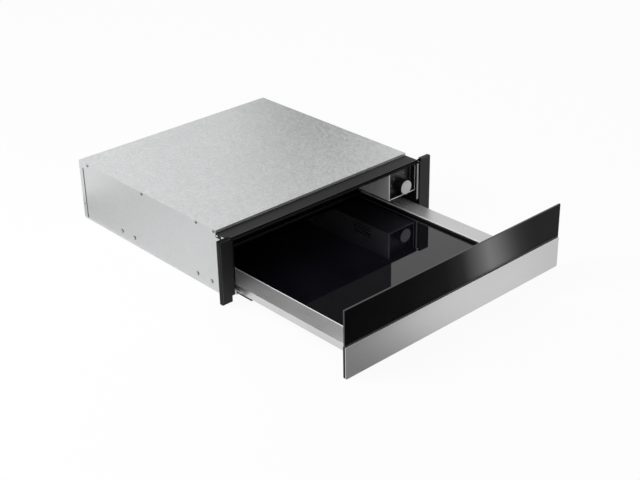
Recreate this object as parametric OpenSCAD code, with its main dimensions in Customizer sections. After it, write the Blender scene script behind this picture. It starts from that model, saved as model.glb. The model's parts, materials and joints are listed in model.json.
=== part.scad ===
// Built-in warming drawer, 14 cm niche height, shown with its drawer pulled out.
// Origin: centre of the housing's underside. +X right, +Y to the rear, +Z up.

/* [Housing] */
// Outer width of the galvanised housing
body_w = 528; // [500:1:548]
// Depth of the housing, from the front frame's face to its back
body_d = 526; // [505:1:560]
// Height of the housing
body_h = 140; // [136:1:170]
// Thickness of the housing's sheet steel
sheet_t = 1; // [0.8:0.1:1.2]
// Height of the band that the top cover folds down over the sides
cover_fold = 15; // [12:1:25]
// Height of the floor's turned-up edges
floor_fold = 8; // [4:1:8]
// Height of the pressed beads in the floor
floor_bead = 3; // [1:0.5:4]

/* [Front frame] */
// Width over the two mounting flanges
frame_w = 585; // [570:1:594]
// Thickness of the black frame's sheet steel
frame_t = 1.2; // [1:0.1:1.5]
// Distance of the top cover's front edge behind the flanges' faces
bar_depth = 47; // [30:1:60]
// Distance of the black strip's front edge behind the flanges' faces
bar_setback = 11; // [8:0.5:14]
// Step from the top cover down to the black strip
bar_drop = 5.5; // [4:0.1:5.7]
// Length of the strip's side tabs
tab_len = 15; // [8:1:25]
// How far the flanges' edges fold back
flange_return = 9; // [3:0.5:10]
// Height of the flanges' lower ends above the underside
flange_low = 3; // [2:0.5:6]
// Distance of the sill behind the front face
sill_setback = 23; // [20:1:40]
// Height of the open step at the foot of each flange
foot_step = 16; // [10:1:20]

/* [Cavity] */
// Distance of the cavity's ceiling below the housing's top
ceiling_gap = 9; // [9:0.5:11]
// Thickness of the cavity liner
liner_t = 1; // [0.8:0.1:1.2]
// Gap between the cavity's rear wall and the housing's back
rear_duct = 19; // [16:1:21]

/* [Control box] */
// Width of the control box
box_w = 80; // [76:1:95]
// Height of the control box
box_h = 63.6; // [58:0.2:65]
// Distance of the control box behind the front frame
box_setback = 8; // [6:0.5:12]
// Length of the control box
box_len = 300; // [270:1:330]
// Depth of the recess in front of the fascia
fascia_depth = 14; // [12:0.5:17]
// Number of air louvres in the side
louvre_count = 4; // [2:1:5]
// Pitch of the air louvres
louvre_pitch = 6.5; // [5.5:0.1:8]
// Length of one air louvre
louvre_len = 56; // [30:1:70]

/* [Knob] */
// Diameter of the thermostat knob
knob_d = 34.5; // [28:0.5:35]
// Diameter of the thermostat's shaft
shaft_d = 6; // [5:0.5:8]
// Distance of the shaft from the control box's right wall
knob_from_wall = 33.5; // [30:0.5:40]
// Height of the shaft above the control box's floor
knob_from_floor = 19; // [19:0.5:26]

/* [Fan] */
// Diameter of the fan wheel
fan_d = 44; // [36:1:46]
// Width of the fan wheel
fan_w = 16; // [10:1:24]
// Number of blades on the fan wheel
fan_blades = 24; // [8:1:30]

/* [Drawer] */
// How far the drawer is pulled out as shown
shown_open = 341; // [300:1:400]
// Length of the drawer behind its front
drawer_len = 490; // [470:1:495]
// Distance over the outer faces of the drawer's side channels
drawer_w = 510.4; // [480:0.2:512]
// Width of the side channels' top flange
flange_w = 41.5; // [30:0.5:60]
// Height of the side channels' top above the underside
channel_z = 35.5; // [35:0.1:36.5]
// Height of the side channels' outer skirt
skirt_h = 15.5; // [10:0.5:18]
// Thickness of the drawer's sheet steel
drawer_t = 1; // [0.8:0.1:1.2]
// Height of the tray's floor above the underside
tray_z = 12; // [10.5:0.5:13]
// Height of the pressed beads in the tray
tray_bead = 3; // [1:0.5:5]
// Thickness of the glass plate
plate_t = 5; // [3:0.5:6]
// Depth of the glass plate below the side channels' top
plate_drop = 7.5; // [5:0.5:9]

/* [Front panel] */
// Width of the front panel
front_w = 594; // [594:1:600]
// Height of the front panel
front_h = 140; // [136:1:142]
// Height of the steel part of the front
steel_h = 66; // [40:1:90]
// Thickness of the front glass
front_glass_t = 4; // [3:0.5:6]
// How far the steel stands in front of the glass
steel_proud = 2; // [1:0.5:3]
// Thickness of the sheet steel front
steel_t = 1.2; // [0.8:0.1:1.5]
// Radius of the front's lower corners
corner_r = 3; // [1:0.5:6]
// Gap behind the closed front
closed_gap = 2; // [1:0.5:4]

/* [Runners] */
// Length of the fixed rail
rail_len = 486; // [450:1:492]
// Length of the middle rail
middle_len = 352; // [300:1:365]
// How far the middle rail stands in front of the frame as shown
middle_out = 38; // [20:1:60]
// Height of the runner's axis above the underside
rail_z = 20.7; // [20.3:0.1:21]
// Thickness of the rails' steel
rail_t = 1; // [0.8:0.1:1.2]
// Width of the gap that the balls run in
race_gap = 2.6; // [2.4:0.1:2.8]
// Depth of the rolled ball tracks
track = 0.5; // [0.2:0.05:0.55]
// Height of the innermost rail
inner_rail_h = 8; // [7:0.1:9]
// Number of balls in one row
ball_count = 6; // [3:1:10]

/* [Fastenings] */
// Diameter of the rivets' and screws' heads
head_d = 8; // [6:0.5:9]
// Diameter of the rivets and screws
stem_d = 3.4; // [2.5:0.1:4]
// Inner radius of the mains cable's gland
gland_r = 4.2; // [3:0.1:5]

/* [Hidden] */
$fn = 48;

// Running clearance between sliding sheet metal
run = 0.6;
// Clearance of a screw or rivet in its hole
stem_gap = 0.05;

// Housing places
face_y = -body_d / 2;
back_y = body_d / 2;
side_x = body_w / 2;
wall_x = side_x - 2 * sheet_t;
bar_top = body_h - bar_drop;
bar_y = face_y + bar_setback;
cheek_x = wall_x - frame_t;
flange_root = 3;
tongue = 8;
frame_x = frame_w / 2;
frame_top = body_h + 1;
sill_y = face_y + sill_setback;
sill_depth = 14;
sill_top = floor_fold;
cover_y = face_y + bar_depth;
cover_screw_ys = [bar_depth + 6, bar_depth + 61, body_d / 2 + 28, body_d - 34];
screw_drop = 3.8;
head_h = 1.4;
rear_screw_in = 22;
rear_screw_zs = [36, body_h - rear_screw_in];
gland_x = -side_x + 60;
gland_z = 34;

// Cavity places
liner_x = side_x - 7.5;
liner_y = face_y + 3;
ceiling_z = body_h - ceiling_gap;
liner_back = back_y - rear_duct - 2 * sheet_t;
ledge_z = channel_z + 1.5;
trim_low = 47;
trim_w = 5;

// Control box places
box_right = liner_x - 2.5;
box_left = box_right - box_w;
box_low = ceiling_z - box_h;
box_t = 1;
box_y = face_y + box_setback;
fascia_y = box_y + fascia_depth;
fascia_t = 2.5;
dial_t = 1.5;
plate_right = box_right - 10.5;
knob_x = box_right - knob_from_wall;
knob_z = box_low + knob_from_floor;
knob_front = face_y + 1.5;
knob_gap = 1;
knob_h = fascia_y - dial_t - knob_gap - knob_front;
cap_t = 1.6;
bush_gap = 0.4;
louvre_h = 3;
louvre_y = fascia_y + 40;
louvre_z = box_low + 8;
thermostat_l = 24;
fan_x = (box_left + box_right) / 2;
fan_z = (box_low + ceiling_z) / 2;
fan_y = box_y + box_len - 100;
motor_l = 34;
fan_axle_d = 4;

// Drawer places
front_y = face_y - closed_gap - shown_open;
drawer_back_y = front_y + drawer_len;
channel_x = drawer_w / 2;
flange_x = channel_x - flange_w;
tray_x = channel_x - 13.7;
plate_top = channel_z - plate_drop;
plate_low = plate_top - plate_t;
plate_x = flange_x + 14;
support_w = 10;
support_len = 58;
support_pitch = 100;
support_y = front_y + 12;
tray_bead_y = support_y + support_len + 20;
gasket_t = 3;
skirt_low = channel_z - skirt_h;
roll_r = 1.2;
hem_t = 0.6;

// Front panel places
carrier_t = 1;
carrier_in = 4;
carrier_rim = 2.5;
front_low = 1;
bumper_d = 8;
bumper_in = 16.5;
bumper_low = 7;
bumper_high = 23;
clamp_t = 1.6;
clamp_xs = [60, 160];
clamp_z = tray_z + 6;
front_x = front_w / 2;
glass_back = front_y - carrier_t;
glass_y = glass_back - front_glass_t;
steel_y = glass_y - steel_proud;
steel_back = steel_y + max(steel_proud, steel_t);
steel_top = front_low + steel_h;
front_top = front_low + front_h;

// Runner places, as distances from the centre plane
outer_web_x = channel_x - drawer_t - hem_t - run;
middle_web_x = outer_web_x - rail_t - run;
inner_web_x = tray_x + rail_t;
race_x = (middle_web_x - rail_t + inner_web_x) / 2;
race_w = 6;
rail_y = face_y + 6;
middle_y = face_y - middle_out;
inner_h = inner_rail_h;
middle_h = inner_h + 2 * race_gap + 2 * rail_t;
leg_t = rail_t + track;
outer_h = middle_h + 2 * race_gap + 2 * rail_t;
outer_race_z = middle_h / 2 + race_gap / 2;
inner_race_z = inner_h / 2 + race_gap / 2;
ball_d = race_gap - 0.6;
cage_t = race_gap - 1.4;
rivet_ys = [70, 116, 334, 380];
rivet_drop = 2.2;
rivet_z = rail_z - rivet_drop;

// Latch places: the closed drawer's back meets the plunger's tip
striker_t = 1.5;
closed_back_y = drawer_back_y + striker_t + shown_open;
plunger_tip_y = closed_back_y + 0.5;
latch_z = tray_z + 6;
plunger_d = 8;
latch_x = 0;

// ------------------------------------------------------------------ helpers

// A box between two corners
module block(x0, x1, y0, y1, z0, z1) {
    translate([x0, y0, z0]) cube([x1 - x0, y1 - y0, z1 - z0]);
}

// The right side as drawn, or its mirror image on the left
module on_left() {
    mirror([1, 0, 0]) children();
}

module on_both() {
    children();
    on_left() children();
}

// A rod along Y
module rod_y(x, y0, y1, z, d) {
    translate([x, y0, z]) rotate([-90, 0, 0]) cylinder(h = y1 - y0, d = d);
}

// A rod along X
module rod_x(x0, x1, y, z, d) {
    translate([x0, y, z]) rotate([0, 90, 0]) cylinder(h = x1 - x0, d = d);
}

// A flat outline in X and Z, given along Y
module along_y(y0, y1) {
    translate([0, y1, 0]) rotate([90, 0, 0]) linear_extrude(y1 - y0) children();
}

// A slot with round ends, through a plate that faces Y
module slot_y(x, y0, y1, z, length, height) {
    block(x - (length - height) / 2, x + (length - height) / 2, y0, y1,
          z - height / 2, z + height / 2);
    for (side = [-1, 1]) rod_y(x + side * (length - height) / 2, y0, y1, z, height);
}

// ------------------------------------------------------------------ housing

// The closed end of a bead pressed into a sheet
module bead_end_outline(width, height) {
    polygon([[-width / 2, 0], [-width / 4, height], [width / 4, height], [width / 2, 0]]);
}

// A bead pressed into a sheet: the raised outline less the groove under it
module bead(width, height, thickness) {
    difference() {
        bead_end_outline(width, height);
        polygon([[-width / 2 + thickness, -1], [-width / 2 + thickness, 0],
                 [-width / 4 + thickness / 2, height - thickness],
                 [width / 4 - thickness / 2, height - thickness],
                 [width / 2 - thickness, 0], [width / 2 - thickness, -1]]);
    }
}

// Floor with four long stiffening beads and turned-up edges
module base_pan() {
    bead_w = 16;
    bead_h = floor_bead + sheet_t;
    bead_xs = [60, 150];
    pan_y0 = sill_y + frame_t;
    pan_y1 = back_y - sheet_t;
    bead_y0 = pan_y0 + 40;
    bead_y1 = pan_y1 - 60;
    color("silver") {
        difference() {
            block(-wall_x, wall_x, pan_y0, pan_y1, 0, sheet_t);
            on_both() for (x = bead_xs)
                block(x - bead_w / 2 + sheet_t, x + bead_w / 2 - sheet_t, bead_y0,
                      bead_y1, -1, sheet_t + 1);
        }
        on_both() for (x = bead_xs) {
            along_y(bead_y0, bead_y1) translate([x, 0]) bead(bead_w, bead_h, sheet_t);
            for (y = [bead_y0, bead_y1 - sheet_t])
                along_y(y, y + sheet_t) translate([x, 0])
                    bead_end_outline(bead_w, bead_h);
        }
        on_both() block(wall_x - sheet_t, wall_x, sill_y + sill_depth, pan_y1,
                        sheet_t, floor_fold);
        block(-wall_x + sheet_t, wall_x - sheet_t, pan_y1 - sheet_t, pan_y1,
              sheet_t, floor_fold);
    }
}

// Right side of the housing, with its top flange and its fixing holes
module side_panel() {
    flange_in = 15;
    color("gainsboro") difference() {
        union() {
            block(wall_x, wall_x + sheet_t, face_y + frame_t + flange_root,
                  back_y - sheet_t, foot_step, bar_top - frame_t);
            block(wall_x, wall_x + sheet_t, sill_y, back_y - sheet_t, 0, foot_step);
            block(wall_x, wall_x + sheet_t, cover_y + sheet_t, back_y - sheet_t,
                  bar_top - frame_t, body_h - sheet_t);
            block(wall_x - flange_in, wall_x, cover_y + sheet_t, back_y - 2 * sheet_t,
                  body_h - 2 * sheet_t, body_h - sheet_t);
        }
        for (y = rivet_ys)
            rod_x(wall_x - 1, side_x, face_y + y, rivet_z, stem_d + 2 * stem_gap);
        for (y = cover_screw_ys)
            rod_x(wall_x - 1, side_x, face_y + y, body_h - screw_drop,
                  stem_d + 2 * stem_gap);
    }
}

module left_side_panel() {
    on_left() side_panel();
}

module right_side_panel() {
    side_panel();
}

// Top of the housing, folded down over the sides
module top_cover() {
    color("lightgray") {
        block(-side_x, side_x, cover_y, back_y, body_h - sheet_t, body_h);
        block(-side_x, side_x, cover_y, cover_y + sheet_t, bar_top, body_h - sheet_t);
        on_both() difference() {
            block(side_x - sheet_t, side_x, cover_y + sheet_t, back_y - sheet_t,
                  body_h - cover_fold, body_h - sheet_t);
            for (y = cover_screw_ys)
                rod_x(wall_x, side_x + 1, face_y + y, body_h - screw_drop,
                      stem_d + 2 * stem_gap);
        }
    }
}

// Back of the housing, wrapped round the sides, with its air slots
module rear_panel() {
    wrap = 12;
    wrap_top = body_h - cover_fold - 0.4;
    slot_w = 34;
    slot_h = 3.4;
    color("silver") difference() {
        union() {
            block(-side_x, side_x, back_y - sheet_t, back_y, flange_low,
                  body_h - sheet_t);
            on_both() block(side_x - sheet_t, side_x, back_y - wrap, back_y - sheet_t,
                            flange_low, wrap_top);
        }
        for (row = [0 : 4]) for (column = [-2 : 2])
            slot_y(column * 46, back_y - 2, back_y + 1, 72 + row * 9, slot_w, slot_h);
        rod_y(gland_x, back_y - 2, back_y + 1, gland_z, 2 * gland_r + 5.2);
        on_both() for (z = rear_screw_zs)
            rod_y(side_x - rear_screw_in, back_y - 2, back_y + 1, z, stem_d + 2 * stem_gap);
        on_both() rod_x(wall_x, side_x + 1, back_y - wrap / 2, rear_screw_zs[0], 4);
    }
}

// Black frame round the opening: strip on top, two flanges, cheeks and a low sill
module front_frame() {
    lip_low = ceiling_z + liner_t + 0.2;
    step_in = 3.5;
    color("dimgray") {
        block(-side_x, side_x, bar_y, cover_y, bar_top - frame_t, bar_top);
        block(-cheek_x, cheek_x, cover_y, cover_y + tongue, bar_top - frame_t, bar_top);
        block(-cheek_x, cheek_x, bar_y, bar_y + frame_t, lip_low, bar_top - frame_t);
        on_both() {
            difference() {
                block(cheek_x, frame_x, face_y, face_y + frame_t, flange_low, frame_top);
                block(cheek_x - 1, side_x, face_y - 1, face_y + frame_t + 1,
                      bar_top - frame_t, frame_top + 1);
                block(cheek_x - 1, side_x + step_in, face_y - 1, face_y + frame_t + 1,
                      flange_low - 1, foot_step);
            }
            block(frame_x - frame_t, frame_x, face_y + frame_t, face_y + flange_return,
                  flange_low, frame_top);
            block(side_x, frame_x - frame_t, face_y + frame_t, face_y + flange_return,
                  frame_top - frame_t, frame_top);
            block(cheek_x, wall_x, face_y + frame_t, sill_y + sill_depth,
                  foot_step, bar_top - frame_t);
            block(wall_x, wall_x + sheet_t, face_y + frame_t,
                  face_y + frame_t + flange_root, foot_step, bar_top - frame_t);
            block(side_x - sheet_t, side_x, cover_y - tab_len, cover_y - 0.4,
                  body_h - cover_fold, bar_top - frame_t);
        }
        block(-wall_x, wall_x, sill_y, sill_y + frame_t, 0, sill_top);
        block(-wall_x, wall_x, sill_y + frame_t, sill_y + sill_depth,
              sill_top - frame_t, sill_top);
    }
}

// Pan head screws along the top cover's folds
module cover_screws() {
    color("gray") on_both() for (y = cover_screw_ys) {
        rod_x(wall_x - 2, side_x, face_y + y, body_h - screw_drop, stem_d);
        translate([side_x, face_y + y, body_h - screw_drop]) rotate([0, 90, 0])
            cylinder(h = head_h, d1 = head_d - 1, d2 = head_d - 3);
    }
}

// Screws that hold the rear panel, in its four corners
module rear_screws() {
    color("gray") on_both() for (z = rear_screw_zs) {
        rod_y(side_x - rear_screw_in, back_y - 6, back_y, z, stem_d);
        translate([side_x - rear_screw_in, back_y, z]) rotate([-90, 0, 0])
            cylinder(h = head_h, d1 = head_d - 1, d2 = head_d - 3);
    }
}

// Rivets that carry the fixed rails, two pairs in each side
module runner_rivets() {
    color("lightgray") on_both() for (y = rivet_ys) {
        rod_x(wall_x - rail_t, wall_x + sheet_t, face_y + y, rivet_z, stem_d);
        translate([wall_x + sheet_t, face_y + y, rivet_z]) rotate([0, 90, 0])
            cylinder(h = head_h, d1 = head_d, d2 = head_d - 3);
        rod_x(wall_x - rail_t - 1, wall_x - rail_t, face_y + y, rivet_z, head_d - 2);
    }
}

// Dark inner shell of the cavity: ceiling, two walls, ledges and rear wall
module cavity_liner() {
    wall_low = ledge_z + liner_t;
    color("dimgray") {
        block(-liner_x, liner_x, liner_y, liner_back + liner_t,
              ceiling_z, ceiling_z + liner_t);
        on_both() {
            block(liner_x - liner_t, liner_x, liner_y, liner_back, wall_low, ceiling_z);
            block(liner_x - liner_t, wall_x, sill_y + sill_depth, liner_back,
                  ledge_z, wall_low);
        }
        block(-liner_x, liner_x, liner_back, liner_back + liner_t, floor_fold + 1,
              ceiling_z);
    }
}

// Bare metal edge that closes the liner's right wall at the front
module liner_edge_trim() {
    trim_t = 1.2;
    color("silver")
        block(liner_x - liner_t - 2, liner_x - liner_t - 2 + trim_w, liner_y - trim_t,
              liner_y, trim_low, ceiling_z);
}

// Mineral wool between the ceiling and the top cover
module insulation_mat() {
    mat_y0 = cover_y + tongue + 4;
    mat_y1 = liner_back - 12;
    mat_top = body_h - 2 * sheet_t - 0.4;
    color("khaki") hull() {
        block(-liner_x + 6, liner_x - 6, mat_y0, mat_y1, ceiling_z + liner_t,
              mat_top - 1.5);
        block(-liner_x + 9, liner_x - 9, mat_y0 + 3, mat_y1 - 3, ceiling_z + liner_t,
              mat_top);
    }
}

// Soft buffers behind the front, which meet the frame when it closes
module front_bumpers() {
    color("black") on_both() for (z = [front_low + bumper_low, front_top - bumper_high])
        translate([front_x - bumper_in, front_y, z]) rotate([-90, 0, 0])
            cylinder(h = closed_gap - 0.4, d1 = bumper_d, d2 = bumper_d - 2);
}

// ------------------------------------------------------------- control box

// Long sheet box under the ceiling, with louvres pressed out of its left wall
module control_box() {
    box_y0 = box_y;
    box_y1 = box_y + box_len;
    color("gray") {
        difference() {
            block(box_left, box_right, box_y0, box_y1, box_low, ceiling_z);
            block(box_left + box_t, box_right - box_t, box_y0 - 1, box_y1 - box_t,
                  box_low + box_t, ceiling_z + 1);
            for (i = [0 : louvre_count - 1])
                block(box_left - 1, box_left + box_t + 1, louvre_y,
                      louvre_y + louvre_len, louvre_z + i * louvre_pitch,
                      louvre_z + i * louvre_pitch + louvre_h);
            for (i = [0 : 4])
                slot_y(fan_x, box_y1 - 2, box_y1 + 1, box_low + 12 + i * 9, 56, 4);
        }
        for (i = [0 : louvre_count - 1])
            translate([box_left, louvre_y, louvre_z + i * louvre_pitch])
                rotate([-90, 0, 0]) linear_extrude(louvre_len)
                    polygon([[0.5, -louvre_h - 0.8], [0, -louvre_h - 0.8], [-2.2, -1.4],
                             [-2.2, -0.6], [0, -louvre_h], [0.5, -louvre_h]]);
    }
}

// Black plate with the dial, set back in the control box
module control_fascia() {
    color("black") difference() {
        union() {
            block(box_left + box_t, box_right - box_t, fascia_y,
                  fascia_y + fascia_t, box_low + box_t, ceiling_z);
            block(box_left + box_t, plate_right, fascia_y - dial_t, fascia_y,
                  box_low + box_t, ceiling_z);
        }
        rod_y(knob_x, fascia_y - 3, fascia_y + 5, knob_z, shaft_d + 4);
    }
}

// Thermostat switch behind the fascia, with its threaded bush
module thermostat() {
    size = 26;
    bush_d = shaft_d + 3.8;
    t_y0 = fascia_y + fascia_t;
    color("white") difference() {
        union() {
            block(knob_x - size / 2, knob_x + size / 2, t_y0, t_y0 + thermostat_l,
                  box_low + box_t, knob_z + size / 2);
            rod_y(knob_x, fascia_y - 1, t_y0, knob_z, bush_d);
            for (side = [-1, 1])
                block(knob_x + side * 7 - 1.5, knob_x + side * 7 + 1.5,
                      t_y0 + thermostat_l, t_y0 + thermostat_l + 8,
                      knob_z - 4, knob_z + 4);
        }
        rod_y(knob_x, fascia_y - 2, t_y0 + 12.5, knob_z, shaft_d + 2 * bush_gap);
    }
}

module thermostat_shaft() {
    color("silver") rod_y(knob_x, knob_front + cap_t + 6, fascia_y + fascia_t + 12,
                          knob_z, shaft_d);
}

// Black knob body, slightly tapered, with a collar and a ribbed grip
module knob_body() {
    rib_count = 36;
    color("black") difference() {
        union() {
            translate([knob_x, knob_front + knob_h, knob_z]) rotate([90, 0, 0])
                rotate_extrude($fn = 96)
                    polygon([[0, 0], [knob_d / 2 - 3, 0], [knob_d / 2 - 3, 2.2],
                             [knob_d / 2 - 1.6, 3.4], [knob_d / 2 - 0.6, knob_h - 1],
                             [knob_d / 2 - 1, knob_h - cap_t + 0.6],
                             [knob_d / 2 - 1.6, knob_h - cap_t + 0.6],
                             [knob_d / 2 - 1.6, knob_h - cap_t], [0, knob_h - cap_t]]);
            for (i = [0 : rib_count - 1])
                translate([knob_x, 0, knob_z]) rotate([0, i * 360 / rib_count, 0])
                    rod_y(knob_d / 2 - 1.2, knob_front + 3, knob_front + knob_h - 4,
                          0, 1.1, $fn = 16);
        }
        rod_y(knob_x, knob_front + cap_t + 6, knob_front + knob_h + 1, knob_z, shaft_d);
    }
}

// Silver disc on the knob's face, with the sunk pointer dot
module knob_cap() {
    color("silver") difference() {
        translate([knob_x, knob_front + cap_t, knob_z]) rotate([90, 0, 0])
            rotate_extrude($fn = 96)
                polygon([[0, 0], [knob_d / 2 - 1.6, 0], [knob_d / 2 - 1.6, cap_t - 0.5],
                         [knob_d / 2 - 2.1, cap_t], [0, cap_t]]);
        rod_y(knob_x, knob_front - 1, knob_front + 0.6, knob_z + knob_d / 2 - 5, 2.2);
    }
}

// Shaded-pole motor behind the fan wheel, on two feet
module fan_motor() {
    half = 17;
    y0 = fan_y + fan_w + 5;
    color("darkgray") {
        block(fan_x - half, fan_x + half, y0, y0 + motor_l, fan_z - half, fan_z + half);
        rod_y(fan_x, y0 - 3, y0, fan_z, 14);
        for (side = [-1, 1])
            block(fan_x + side * 12 - 4, fan_x + side * 12 + 4, y0 + 4, y0 + motor_l - 4,
                  box_low + box_t, fan_z - half);
    }
}

// Centrifugal fan wheel: back plate, hub with axle, forward-leaning blades, front ring
module fan_wheel() {
    ring = 2;
    color("silver") {
        translate([fan_x, fan_y, fan_z]) rotate([-90, 0, 0]) {
            difference() {
                cylinder(h = ring, d = fan_d);
                translate([0, 0, -1]) cylinder(h = ring + 2, d = fan_d - 14);
            }
            translate([0, 0, fan_w - ring]) cylinder(h = ring, d = fan_d);
            translate([0, 0, fan_w - 9]) cylinder(h = 9, d = 11);
            cylinder(h = fan_w + 1.6, d = fan_axle_d);
            for (i = [0 : fan_blades - 1])
                rotate([0, 0, i * 360 / fan_blades])
                    translate([fan_d / 2 - 3.8, 0, ring / 2]) rotate([0, 0, 35])
                        translate([-3, -0.4, 0]) cube([6, 0.8, fan_w - ring]);
        }
    }
}

// Finned air heater between the fan and the louvres
module heating_element() {
    fin_count = 12;
    half_w = 30;
    half_h = 20;
    y0 = louvre_y + louvre_len + 14;
    color("orangered") {
        for (side = [-1, 1])
            rod_y(fan_x + side * 14, y0 - 8, y0 + 50, fan_z, 6.4);
        for (i = [0 : fin_count - 1])
            block(fan_x - half_w, fan_x + half_w, y0 + i * 4, y0 + i * 4 + 0.8,
                  fan_z - half_h, fan_z + half_h);
        for (side = [-1, 1])
            block(fan_x + side * 24 - 3, fan_x + side * 24 + 3, y0 + 10, y0 + 30,
                  box_low + box_t, fan_z - half_h);
    }
}

// Terminal box on the rear panel, inside the rear duct
module terminal_box() {
    color("white") block(gland_x + 22, gland_x + 82, back_y - sheet_t - 14,
                         back_y - sheet_t, gland_z - 16, gland_z + 18);
}

// Gland for the mains cable in the rear panel
module cable_gland() {
    hole_d = 2 * gland_r + 5;
    gland_in = 12;
    gland_out = 5;
    color("black") difference() {
        union() {
            rod_y(gland_x, back_y - sheet_t - gland_in, back_y, gland_z, hole_d);
            rod_y(gland_x, back_y, back_y + gland_out, gland_z, hole_d + 6);
        }
        rod_y(gland_x, back_y - sheet_t - gland_in - 1, back_y + gland_out + 1,
              gland_z, 2 * gland_r);
    }
}

// ------------------------------------------------------------------- latch

// Push latch on the floor behind the drawer
module latch_housing() {
    half = 13;
    y0 = plunger_tip_y + 8;
    y1 = liner_back;
    color("dimgray") difference() {
        union() {
            block(latch_x - half, latch_x + half, y0, y1, sheet_t, latch_z + 8);
            block(latch_x - half - 10, latch_x + half + 10, y0, y1, sheet_t,
                  sheet_t + 2);
        }
        rod_y(latch_x, y0 - 1, y1 + 1, latch_z, plunger_d + 0.8);
    }
}

// Sprung plunger with a round tip
module latch_plunger() {
    tip = 2.5;
    color("white") {
        rod_y(latch_x, plunger_tip_y + tip, liner_back - 5, latch_z, plunger_d);
        translate([latch_x, plunger_tip_y + tip, latch_z]) rotate([90, 0, 0])
            cylinder(h = tip, d1 = plunger_d, d2 = plunger_d - 3);
    }
}

// ----------------------------------------------------------------- runners

// The round grooves that a row of balls rolls in, above and below
module ball_tracks(race_z) {
    for (side = [-1, 1])
        translate([race_x, side * race_z]) circle(r = race_gap / 2);
}

// A C-shaped rail: web towards the wall, legs thick enough for the tracks inside them
module rail_profile(web_x, height, depth, race_z, rise) {
    difference() {
        translate([web_x - depth, -height / 2 - rise]) square([depth, height + 2 * rise]);
        translate([web_x - depth - 1, -height / 2 + leg_t])
            square([depth - rail_t + 1, height - 2 * leg_t]);
        ball_tracks(race_z);
    }
}

// Fixed rail, carried by a foot that is riveted to the side panel
module outer_rail() {
    depth = outer_web_x - inner_web_x - 1;
    low = rail_z - outer_h / 2;
    color("lightsteelblue") difference() {
        union() {
            along_y(rail_y, rail_y + rail_len) translate([0, rail_z])
                rail_profile(outer_web_x, outer_h, depth, outer_race_z, 0);
            for (y = [rivet_ys[0], rivet_ys[2]]) {
                block(outer_web_x, wall_x, face_y + y - 12, face_y + y + 58, low,
                      low + rail_t);
                block(wall_x - rail_t, wall_x, face_y + y - 12, face_y + y + 58,
                      low + rail_t, rivet_z + 7);
            }
        }
        for (y = rivet_ys)
            rod_x(wall_x - rail_t - 1, side_x, face_y + y, rivet_z,
                  stem_d + 2 * stem_gap);
    }
}

// Middle rail, nested in the fixed one, with ball tracks inside and outside
module middle_rail() {
    depth = middle_web_x - inner_web_x - 1;
    color("silver") along_y(middle_y, middle_y + middle_len)
        translate([0, rail_z]) difference() {
            rail_profile(middle_web_x, middle_h, depth, inner_race_z, track);
            ball_tracks(outer_race_z);
        }
}

// Innermost rail, flat against the tray's side, with two legs that carry ball tracks
module inner_rail() {
    half = inner_h / 2;
    leg = race_x + race_w / 2 - inner_web_x;
    leg_z = half - (rail_t - track) / 2;
    color("lightsteelblue") along_y(front_y + 6, drawer_back_y - 6)
        translate([0, rail_z]) difference() {
            union() {
                translate([inner_web_x - rail_t, -half]) square([rail_t, inner_h]);
                for (side = [-1, 1])
                    translate([inner_web_x, side * leg_z - leg_t / 2]) square([leg, leg_t]);
            }
            ball_tracks(inner_race_z);
        }
}

// Two strips with a row of balls each, above and below a rail
module ball_cage(race_z, y0, length) {
    pitch = length / ball_count;
    color("whitesmoke") for (side = [-1, 1]) {
        block(race_x - race_w / 2, race_x + race_w / 2, y0, y0 + length,
              rail_z + side * race_z - cage_t / 2, rail_z + side * race_z + cage_t / 2);
        for (i = [0 : ball_count - 1])
            translate([race_x, y0 + (i + 0.5) * pitch, rail_z + side * race_z])
                sphere(d = ball_d, $fn = 24);
    }
}

cage_len = 120;
middle_travel = shown_open / 2;
outer_cage_y = middle_y + 20 + middle_travel / 2;
inner_cage_y = middle_y + 28;

module left_outer_rail() { on_left() outer_rail(); }
module right_outer_rail() { outer_rail(); }
module left_middle_rail() { on_left() middle_rail(); }
module right_middle_rail() { middle_rail(); }
module left_inner_rail() { on_left() inner_rail(); }
module right_inner_rail() { inner_rail(); }
module left_outer_cage() { on_left() ball_cage(outer_race_z, outer_cage_y, cage_len); }
module right_outer_cage() { ball_cage(outer_race_z, outer_cage_y, cage_len); }
module left_inner_cage() { on_left() ball_cage(inner_race_z, inner_cage_y, cage_len); }
module right_inner_cage() { ball_cage(inner_race_z, inner_cage_y, cage_len); }

// ------------------------------------------------------------------ drawer

// Flat tray with turned-up sides and front, and beads pressed across its floor
module drawer_tray() {
    wall_top = channel_z - drawer_t;
    bead_w = 18;
    bead_end = 70;
    bead_h = tray_bead + drawer_t;
    bead_x = tray_x - bead_end;
    color("silver") {
        difference() {
            union() {
                block(-tray_x, tray_x, front_y, drawer_back_y - drawer_t, tray_z,
                      tray_z + drawer_t);
                block(-tray_x + drawer_t, tray_x - drawer_t, front_y, front_y + drawer_t,
                      tray_z + drawer_t, plate_low);
            }
            for (i = [0 : 3])
                block(-bead_x, bead_x,
                      tray_bead_y + i * support_pitch - bead_w / 2 + drawer_t,
                      tray_bead_y + i * support_pitch + bead_w / 2 - drawer_t,
                      tray_z - 1, tray_z + drawer_t + 1);
            on_both() for (x = clamp_xs)
                rod_y(x, front_y - 1, front_y + drawer_t + 1, clamp_z,
                      stem_d + 2 * stem_gap);
        }
        on_both() block(tray_x - drawer_t, tray_x, front_y, drawer_back_y - drawer_t,
                        tray_z + drawer_t, wall_top);
        for (i = [0 : 3])
            translate([0, tray_bead_y + i * support_pitch, tray_z]) rotate([90, 0, 90]) {
                translate([0, 0, -bead_x]) linear_extrude(2 * bead_x)
                    bead(bead_w, bead_h, drawer_t);
                for (x = [-bead_x, bead_x - drawer_t])
                    translate([0, 0, x]) linear_extrude(drawer_t)
                        bead_end_outline(bead_w, bead_h);
            }
    }
}

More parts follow.
